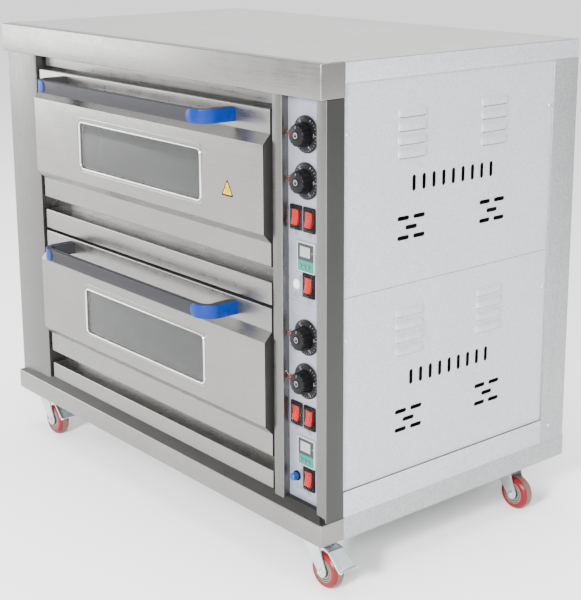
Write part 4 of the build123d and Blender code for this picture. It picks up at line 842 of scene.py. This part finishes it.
dial_names = [f"{deck}_{heat}_heat_knob" for deck in ("upper", "lower") for heat in ("top", "bottom")]
for node, z in zip(dial_names, KNOB_Z):
    dial = Shape()
    y_back = Y_PANEL - 1.0
    at = (X_KNOB, y_back, z)
    # skirt, dished towards its rim
    dial.lathe([(0, 0.4), (3.0, 0.4), (3.0, 0.2), (35.6, 0), (36.4, 0.8), (36.4, 2.0), (35.2, 2.9),
                (29, 4.6), (25, 4.9),
                (0, 4.9)], at, finish=0, steps=72)
    # cap with twelve finger flutes
    outline = []
    for k in range(144):
        turn = 2 * pi * k / 144
        dip = max(0.0, cos(12 * turn)) ** 3
        outline.append((turn, 24.4 - 1.7 * dip))
    loops = []
    for shrink, h in ((0.0, 3.0), (0.4, 9.0), (2.6, 24.0), (3.2, 25.8), (4.3, 27.0), (5.8, 27.4)):
        loops.append([(X_KNOB + (r - shrink) * sin(t), y_back - h, z + (r - shrink) * cos(t))
                      for t, r in outline])
    dial.loft(loops, 0)
    # ringed disc and pointer on the face
    face = y_back - 27.4
    dial.lathe([(0, 0.0), (9.4, 0.0), (9.4, 0.5), (0, 0.5)], (X_KNOB, face, z), finish=1, steps=40)
    dial.lathe([(4.4, 0.3), (4.4, 0.75), (5.9, 0.75), (5.9, 0.3)], (X_KNOB, face, z), finish=2, steps=40)
    dial.box(X_KNOB - 0.6, X_KNOB + 0.6, face - 0.8, face - 0.3, z - 0.5, z + 4.6, 2)
    dial.box(X_KNOB - 0.5, X_KNOB + 0.5, face - 0.15, face + 0.5, z + 13, z + 18.4, 2)
    dial.lathe([(0, 0), (3.0, 0), (3.0, -15), (2.6, -15.4), (0, -15.4)], at, finish=3, steps=20)
    # scale: ticks and numbers printed on the skirt
    for k in range(26):
        turn = radians(30 + k * 12)
        long_tick = k % 5 == 0
        r0, r1 = (29.8, 33.6) if long_tick else (31.4, 33.6)
        half = 0.45 if long_tick else 0.28
        u, w = Vector((sin(turn), cos(turn))), Vector((cos(turn), -sin(turn)))
        quad = [u * r0 - w * half, u * r1 - w * half, u * r1 + w * half, u * r0 + w * half]
        dial.loft([[(X_KNOB + q.x, y_back - (4.62 - 0.26 * (q.length - 29)) - rise, z + q.y) for q in quad]
                   for rise in (-0.3, 0.22)], 2)
    for k in range(1, 6):
        turn = radians(30 + k * 60)
        points, faces = digits(str(50 * (k + 1)), 5.4,
                               (X_KNOB + 27.4 * sin(turn), y_back - 5.0, z + 27.4 * cos(turn)), turn)
        dial.add(points, faces, 2)
    dial.make(node + "_dial", node, [dark_case, black_case, ink, bright_zinc], sharp=42)

# ==== Switches, covers and push button ============================================================
# Red rocker switches snapped into black bezels, each under a clear splash cover clipped on the
# bezel. The lower plate also has a blue push button in a black collar.
cover_clear = bpy.data.materials.new("clear_cover")
cover_clear.use_nodes = True
shell = cover_clear.node_tree.nodes["Principled BSDF"]
film = cover_clear.node_tree.nodes.new("ShaderNodeGroup")
film.node_tree = moulded
film.inputs["Colour"].default_value = (0.03, 0.03, 0.03, 1)
film.inputs["Roughness"].default_value = 0.12
cover_clear.node_tree.links.new(film.outputs["Colour"], shell.inputs["Base Color"])
cover_clear.node_tree.links.new(film.outputs["Roughness"], shell.inputs["Roughness"])
shell.inputs["Alpha"].default_value = 0.07
shell.inputs["Specular IOR Level"].default_value = 0.6
rocker_red = surface("rocker_red", (0.27, 0.004, 0.003), 0.0, 0.35, moulded, bump=0.03,
                     Specular_IOR_Level=0.2)
button_blue = surface("button_blue", (0.0, 0.03, 0.19), 0.0, 0.3, moulded, bump=0.03, Specular_IOR_Level=0.3)

bezels, covers = Shape(), Shape()
for places in SWITCHES:
    for x, z in places:
        flange = round_rect(35, 50, 3.0, x=x, z=z, steps=4)
        well = round_rect(20, 33, 1.0, x=x, z=z, steps=4)
        loops = []
        for outline, y in ((flange, Y_PANEL), (flange, Y_PANEL - 2.4),
                           (round_rect(35, 50, 3.0, -0.8, x, z, 4), Y_PANEL - 3.2),
                           (round_rect(26, 40, 2.0, 0, x, z, 4), Y_PANEL - 3.2),
                           (well, Y_PANEL - 2), (well, Y_PANEL + 14),
                           (round_rect(25, 38, 1.5, x=x, z=z, steps=4), Y_PANEL + 14),
                           (round_rect(25, 38, 1.5, x=x, z=z, steps=4), Y_PANEL)):
            loops.append([(u, y, w) for u, w in outline])
        bezels.loft(loops, 0, True)
        bezels.box(x - 12.4, x + 12.4, Y_PANEL + 13.9, Y_PANEL + 24, z - 18.9, z + 18.9)
        hood_out = [((round_rect(29, 44, 3.0, g, x, z, 4)), y) for g, y in
                    ((0, Y_PANEL - 2), (0, Y_PANEL - 12.6), (-0.7, Y_PANEL - 14.2), (-2.2, Y_PANEL - 15),
                     (-3.0, Y_PANEL - 14), (-1.3, Y_PANEL - 12.4), (-1.2, Y_PANEL - 2))]
        covers.loft([[(u, y, w) for u, w in outline] for outline, y in hood_out], 0, True)
        covers.loft([[(u, y, w) for u, w in round_rect(29, 44, 3.0, -2.2, x, z, 4)]
                     for y in (Y_PANEL - 15, Y_PANEL - 14)])
collar_at = (X_BUTTON, Y_PANEL, BUTTON_Z[1])
bezels.lathe([(7.7, 3.0), (8.4, 3.6), (9.8, 3.2), (10.5, 2.0), (10.5, 0.05), (8.5, 0), (8.5, -18),
              (7.7, -18)], collar_at, finish=0)
bezels.make("switch_bezels", "switch_housings", [black_case])
covers.make("splash_covers", "switch_covers", [cover_clear])
for deck in ("upper", "lower"):
    for role in ("top_heat", "bottom_heat", "power"):
        softened(f"{deck}_{role}_rocker", rocker_red, 0.7)
button = Shape()
button.lathe([(0, 12.6), (3.2, 12.7), (5.4, 13.2), (6.6, 14.0), (7.3, 13.2), (7.5, 12.0), (7.5, -9),
              (0, -9)], collar_at)
button.make("blue_button", "push_button", [button_blue])

# ==== Timers ======================================================================================
# A snap-in digital timer in each plate: pale rim, dark display surround with a grey liquid-crystal
# window, and a teal keypad with three round grey keys.
timer_rim = surface("timer_rim", (0.30, 0.30, 0.285), 0.0, 0.45, moulded, bump=0.05)
display_grey = surface("display_surround", (0.02, 0.022, 0.024), 0.0, 0.3, moulded, bump=0.03,
                       Specular_IOR_Level=0.2)
screen_grey = surface("screen_lcd", (0.20, 0.215, 0.21), 0.0, 0.16, moulded, bump=0.01,
                      Specular_IOR_Level=0.4)
keypad_teal = surface("keypad_teal", (0.0, 0.13, 0.10), 0.0, 0.4, moulded, bump=0.04, Specular_IOR_Level=0.2)
key_grey = surface("key_grey", (0.05, 0.055, 0.055), 0.0, 0.4, moulded, bump=0.05)
timers, wells = Shape(), Shape()
for z in TIMER_Z:
    y_face = Y_PANEL - 3.0
    rim = [(0, Y_PANEL), (0, y_face + 0.8), (-0.8, y_face), (-2.2, y_face + 0.2), (-2.4, y_face + 1.2),
           (-2.4, Y_PANEL)]
    timers.loft([[(u, y, w) for u, w in round_rect(52, 60, 2.5, g, X_TIMER + 3, z, 5)]
                 for g, y in rim], 0, True)
    timers.box(X_TIMER - 21.2, X_TIMER + 27.2, y_face + 0.7, y_face + 2.4, z - 6.2, z + 28.2, 1)
    timers.box(X_TIMER - 21.2, X_TIMER + 27.2, y_face + 0.5, y_face + 2.4, z - 28.2, z - 6.4, 3)
    timers.box(X_TIMER - 20.7, X_TIMER + 20.7, y_face + 2.3, Y_PANEL + 26, z - 27.6, z + 27.6, 4)
    timers.loft([[(u, y, w) for u, w in round_rect(34, 25, 1.2, g, X_TIMER + 1, z + 11, 3)]
                 for g, y in ((0, y_face + 0.9), (0, y_face + 0.1), (-1.6, y_face + 0.1),
                              (-1.8, y_face + 0.9))], 1, True)
    timers.box(X_TIMER - 14.2, X_TIMER + 16.2, y_face + 0.45, y_face + 0.8, z + 0.4, z + 21.6, 2)
    timers.lathe([(0, 0.3), (0.9, 0.25), (1.2, -0.4), (0, -0.4)], (X_TIMER + 22, y_face + 0.6, z + 11),
                 finish=0, steps=12)
    for x in (X_TIMER - 12, X_TIMER, X_TIMER + 12):
        wells.lathe([(0, 3), (3.9, 3), (3.9, -6), (0, -6)], (x, y_face, z - 18), steps=24)
face_piece = timers.make("timer_pair", "timer_units",
                         [timer_rim, display_grey, screen_grey, keypad_teal, black_case])
cut(face_piece, wells)
for z, deck in zip(TIMER_Z, ("upper", "lower")):
    for role, x in zip(("set", "up", "down"), (X_TIMER - 12, X_TIMER, X_TIMER + 12)):
        key = Shape()
        at = (x, Y_PANEL - 3.0, z - 18)
        key.lathe([(0, 1.2), (2.6, 1.15), (3.4, 0.7), (3.6, 0.1), (3.6, -5), (0, -5)], at, steps=24)
        mark = {"set": [(-1.3, -1.3), (1.3, -1.3), (1.3, 1.3), (-1.3, 1.3)],
                "up": [(-1.6, -1), (1.6, -1), (0, 1.6)],
                "down": [(-1.6, 1), (0, -1.6), (1.6, 1)]}[role]
        key.prism([(x + u, z - 18 + w) for u, w in mark], "y", Y_PANEL - 4.32, Y_PANEL - 4.0, 1)
        key.make(f"{deck}_{role}_key_cap", f"{deck}_timer_{role}_key", [key_grey, ink])

# ==== Hinge brackets, cable grommet and screws ====================================================
# Zinc-plated brackets hold a pin at each lower corner of a door. A rubber grommet lines the cable
# hole at the back. Cross-head screws hold the side sheets, roof and posts, and hex bolts the casters.
softened("hinge_brackets", bright_zinc, 0.5)
grommet = Shape()
grommet.lathe([(12.0, 1.2), (13.0, 2.0), (17.0, 2.0), (19.0, 0.8), (19.0, -1.5), (15.6, -1.5), (15.6, -3.2),
               (19.0, -3.4), (18.4, -4.8), (13.0, -5.2), (12.0, -4.4)],
              (509.0, BACK, 266.0), (0, 1, 0), steps=48)
grommet.make("grommet_ring", "cable_grommet", [rubber])


def cross_head(radius, height, depth):
    """A domed screw head with a cross recess, about the origin along +Z, as points and faces."""
    head, recess = Shape(), Shape()
    head.lathe([(0, height), (radius * 0.5, height * 0.94), (radius * 0.85, height * 0.6), (radius, 0.0),
                (radius, -0.4), (0, -0.4)], (0, 0, 0), (0, 0, 1), steps=24)
    for a, b in ((radius * 0.55, radius * 0.13), (radius * 0.13, radius * 0.55)):
        recess.box(-a, a, -b, b, height - depth, height + 2)
    mesh = bpy.data.meshes.new("head")
    mesh.from_pydata([tuple(c * MM for c in p) for p in head.points], [], head.faces)
    smooth(mesh)
    holder = bpy.data.objects.new("head", mesh)
    bpy.context.scene.collection.objects.link(holder)
    cut(holder, recess)
    data = ([Vector(v.co) / MM for v in holder.data.vertices],
            [tuple(p.vertices) for p in holder.data.polygons])
    bpy.data.objects.remove(holder)
    return data


screws = Shape()
pan_head, flush_head = cross_head(4.5, 2.0, 1.2), cross_head(4.0, 0.05, 0.9)


def place_screw(head, centre, direction):
    turn = Vector((0, 0, 1)).rotation_difference(Vector(direction)).to_matrix() @ Matrix.Rotation(0.4, 3, "Z")
    points, faces = head
    screws.add([tuple(turn @ p + Vector(centre)) for p in points], faces)
    screws.lathe([(0, -0.3), (2.0, -0.3), (2.0, -7.5), (0, -8)], centre, direction, steps=12)


for x_face, x_side, outward in ((LEFT + 4, LEFT, -1), (RIGHT - 4, RIGHT, 1)):
    for top in DOOR_TOPS:
        for y in (PANEL_Y0 + 8, PANEL_Y1 - 8):
            place_screw(pan_head, (x_face, y, top - 34), (outward, 0, 0))
    place_screw(flush_head, (x_side - 0.06 * outward, 321.5 + 25, Z_FLOOR + 36), (outward, 0, 0))
    for share in (0.061, 0.426, 0.811):
        place_screw(flush_head, (x_side - outward * 22, FRONT + share * DEPTH, Z_TOP - 0.06), (0, 0, 1))
CASTERS = {"front_left": (LEFT + 70, FRONT + 46), "front_right": (RIGHT - 70, FRONT + 46),
           "rear_left": (LEFT + 70, BACK - 120), "rear_right": (RIGHT - 70, BACK - 120)}


def hexagon(shape, centre, direction, across, height, finish=0):
    """A hexagon head or nut with chamfered corners, seated at centre."""
    radius = across / sqrt(3)
    axis = Vector(direction).normalized()
    u = axis.orthogonal().normalized()
    v = axis.cross(u)
    loops = []
    for share, h in ((0.9, 0.0), (1.0, 0.12 * height), (1.0, 0.82 * height), (0.86, height)):
        spokes = [u * cos(pi * k / 3) + v * sin(pi * k / 3) for k in range(6)]
        loops.append([tuple(Vector(centre) + axis * h + spoke * radius * share) for spoke in spokes])
    shape.loft(loops, finish)


for x, y in CASTERS.values():
    for sx in (-1, 1):
        for sy in (-1, 1):
            bx, by = x + sx * 36, y + sy * 24
            hexagon(screws, (bx, by, Z_TRAY - 3), (0, 0, -1), 11.0, 5.0)
            screws.lathe([(0, 0), (4, 0), (4, 14), (0, 14)], (bx, by, Z_TRAY - 3), (0, 0, 1), steps=16)
            hexagon(screws, (bx, by, Z_TRAY + 3), (0, 0, 1), 11.0, 5.0)
screws.make("screw_set", "screws", [bright_zinc])

# ==== Casters =====================================================================================
# Pressed zinc-plated top plates and forks, a red polyurethane tyre with a worn grey-brown tread on
# a banded hub, a through bolt with a nut, and on the front pair a foot brake pivoted on a pin.
tyre_red = surface("tyre_red", (0.13, 0.004, 0.007), 0.0, 0.32, moulded, bump=0.05, Specular_IOR_Level=0.3)
tread_grey = surface("tread_grey", (0.12, 0.06, 0.045), 0.0, 0.6, moulded, bump=0.3)
hub_grey = surface("hub_grey", (0.14, 0.125, 0.10), 0.0, 0.4, moulded, bump=0.05)
hub_dark = surface("hub_dark", (0.012, 0.014, 0.010), 0.1, 0.45, moulded, bump=0.08)
softened("caster_plates", pressed_zinc, 0.8)
Z_CROWN, Z_AXLE = 99.7, 38.0
LEG_GAP, LEG_SHEET = 16.5, 3
TRAIL, PIN_RUN, PIN_DROP = 40, 20, 12
PEDAL_REACH, LIP_RISE = 108, 24
for spot, (x, y) in CASTERS.items():
    x_axle = x + TRAIL
    fork = Shape()
    fork.prism(fillet([(x - 30, y - LEG_GAP - 3), (x + 30, y - LEG_GAP - 3), (x + 30, y + LEG_GAP + 3),
                       (x - 30, y + LEG_GAP + 3)], 3, True), "z", Z_CROWN - 3, Z_CROWN - 0.05)
    leg = fillet([(x - 30, Z_CROWN), (x + 30, Z_CROWN), (x + 40, Z_AXLE + 34), (x_axle + 13, Z_AXLE + 6),
                  (x_axle + 13, Z_AXLE - 4), (x_axle + 5, Z_AXLE - 12.5), (x_axle - 6, Z_AXLE - 12),
                  (x_axle - 13, Z_AXLE)], 6, True, 5)
    for side in (-1, 1):
        a, b = sorted((y + side * LEG_GAP, y + side * (LEG_GAP + LEG_SHEET)))
        fork.prism(leg, "y", a, b)
        hexagon(fork, (x_axle, y + side * (LEG_GAP + LEG_SHEET), Z_AXLE), (0, side, 0), 12.5, 5.0, 1)
        fork.lathe([(0, 0), (8.4, 0), (8.4, 0.9), (0, 0.9)], (x_axle, y + side * (LEG_GAP + 2.8), Z_AXLE),
                   (0, side, 0), 1, 24)
        fork.lathe([(0, 0), (3.9, 0), (3.9, 1.6), (3.2, 2.2), (0, 2.2)],
                   (x_axle, y + side * (LEG_GAP + 8), Z_AXLE), (0, side, 0), 1, 20)
    fork.lathe([(0, 0), (4, 0), (4, 2 * LEG_GAP + 4), (0, 2 * LEG_GAP + 4)],
               (x_axle, y - LEG_GAP - 2, Z_AXLE), (0, 1, 0), 1, 20)
    if spot.startswith("front"):
        fork.lathe([(0, 0), (2.5, 0.6), (2.5, 2 * LEG_GAP + 9.4), (0, 2 * LEG_GAP + 10)],
                   (x + PIN_RUN, y - LEG_GAP - 5, Z_CROWN - PIN_DROP), (0, 1, 0), 1, 16)
    fork.make(f"{spot}_fork", f"{spot}_caster_fork", [pressed_zinc, bright_zinc], soften=0.5)

    wheel = Shape()
    centre = (x_axle, y, Z_AXLE)
    tyre = fillet([(25, 14), (33, 14), (37.9, 8.5), (37.9, -8.5), (33, -14), (25, -14)], 4.0, steps=5)
    wheel.lathe(tyre + [(25, -14)], centre, (0, 1, 0), 0, 64)
    wheel.lathe([(37.2, 7.6), (37.98, 7.0), (37.98, -7.0), (37.2, -7.6)], centre, (0, 1, 0), 1, 64)
    for side in (-1, 1):
        rings = [(25.2, 13.6, 23.4, 13.9, 2), (23.4, 12.4, 21.6, 12.4, 3), (21.6, 12.9, 19.6, 12.9, 2),
                 (19.6, 11.6, 17.4, 11.6, 3), (17.4, 12.6, 14.0, 12.6, 2), (14.0, 11.0, 9.0, 11.0, 3),
                 (9.0, 14.6, 4.1, 14.6, 2)]
        for r0, h0, r1, h1, finish in rings:
            wheel.lathe([(r1, 0.0), (r1, h1), (r0, h0), (r0, 0.0)], centre, (0, side, 0), finish, 48)
    wheel.make(f"{spot}_wheel", f"{spot}_caster_wheel", [tyre_red, tread_grey, hub_grey, hub_dark])

for side in ("left", "right"):
    x, y = CASTERS[f"front_{side}"]
    x_pin, z_pin, tip, z_lip = x + PIN_RUN, Z_CROWN - PIN_DROP, x + PEDAL_REACH, Z_AXLE + LIP_RISE
    pedal = Shape()
    pedal.prism(fillet([(x_pin - 5, z_pin - 4), (x_pin - 5, z_pin + 4), (x_pin + 24, z_pin + 5),
                        (x_pin + 24, z_pin + 1.5)], 1.2, True), "y", y - LEG_GAP + 0.6, y + LEG_GAP - 0.6)
    line = fillet([(x_pin + 16, z_pin + 7.5), (x_pin + 44, z_pin + 3.0), (tip - 15, z_lip + 3.5),
                   (tip - 8, z_lip - 2.0), (tip - 2.0, z_lip + 2.6)], 9, steps=8)
    plate = thick(line, -3.0)
    widths = [(-1.0, 2.0), (-0.93, 0.6), (-0.85, 0.0), (0.85, 0.0), (0.93, 0.6), (1.0, 2.0)]
    pedal.loft([[(px, y + share * (18.5 + 4.5 * (px - x_pin - 16) / (tip - x_pin - 16)), pz - sag)
                 for px, pz in plate] for share, sag in widths], 0)
    pedal.box(x_pin + 34, x_pin + 47, y - 12, y + 12, z_pin - 2.6, z_pin + 0.6, 1)
    pedal.make(f"front_{side}_brake", f"front_{side}_brake_pedal", [bright_zinc, rubber], soften=0.3)

# ==== Floor, light and camera =====================================================================
# A plain pale floor in a bright room, two soft lights raking the right side, one panel on the left
# that the stainless front mirrors, and one overhead.
floor_mesh = bpy.data.meshes.new("floor")
floor_mesh.from_pydata([(-30, -30, 0), (30, -30, 0), (30, 30, 0), (-30, 30, 0)], [], [(0, 1, 2, 3)])
floor = bpy.data.objects.new("floor", floor_mesh)
bpy.context.scene.collection.objects.link(floor)
floor_paint = bpy.data.materials.new("floor_paint")
floor_paint.use_nodes = True
floor_paint.node_tree.nodes["Principled BSDF"].inputs["Base Color"].default_value = (0.94, 0.94, 0.94, 1)
floor_paint.node_tree.nodes["Principled BSDF"].inputs["Roughness"].default_value = 0.9
floor_mesh.materials.append(floor_paint)

world = bpy.data.worlds.new("studio")
bpy.context.scene.world = world
world.use_nodes = True
world.node_tree.nodes["Background"].inputs["Color"].default_value = (1, 1, 1, 1)
world.node_tree.nodes["Background"].inputs["Strength"].default_value = 1.5


def soft_light(name, place, aim, size, power):
    """A rectangular light at a place, in metres, turned to face a point."""
    lamp = bpy.data.lights.new(name, "AREA")
    lamp.shape, lamp.size, lamp.size_y, lamp.energy = "RECTANGLE", size[0], size[1], power
    holder = bpy.data.objects.new(name, lamp)
    holder.location = place
    holder.rotation_euler = (Vector(aim) - Vector(place)).to_track_quat("-Z", "Y").to_euler()
    bpy.context.scene.collection.objects.link(holder)


soft_light("right_wall", (3.6, -2.9, 2.5), (0.6, 0.0, 0.6), (1.2, 1.2), 160)
soft_light("grazing", (2.3, -5.2, 2.6), (0.6, 0.0, 0.6), (0.9, 0.9), 900)
soft_light("left_panel", (-4.6, -2.5, 1.5), (-0.4, -0.3, 0.9), (2.2, 2.4), 170)
soft_light("overhead", (0.0, 0.3, 4.2), (0.0, 0.0, 1.0), (3.2, 3.2), 200)

azimuth, elevation, roll = radians(50.443), radians(13.187), radians(-0.2765)
look = Vector((-sin(azimuth) * cos(elevation), cos(azimuth) * cos(elevation), -sin(elevation)))
camera_data = bpy.data.cameras.new("view")
camera_data.sensor_width = 36.0
camera_data.lens = 80.46
camera_data.shift_y = -0.13
camera_data.clip_end = 100
camera = bpy.data.objects.new("view", camera_data)
bpy.context.scene.collection.objects.link(camera)
spin = look.to_track_quat("-Z", "Y").to_matrix() @ Matrix.Rotation(roll, 3, "Z")
camera.matrix_world = Matrix.Translation((2.43256, -1.93315, 1.34368)) @ spin.to_4x4()
bpy.context.scene.camera = camera
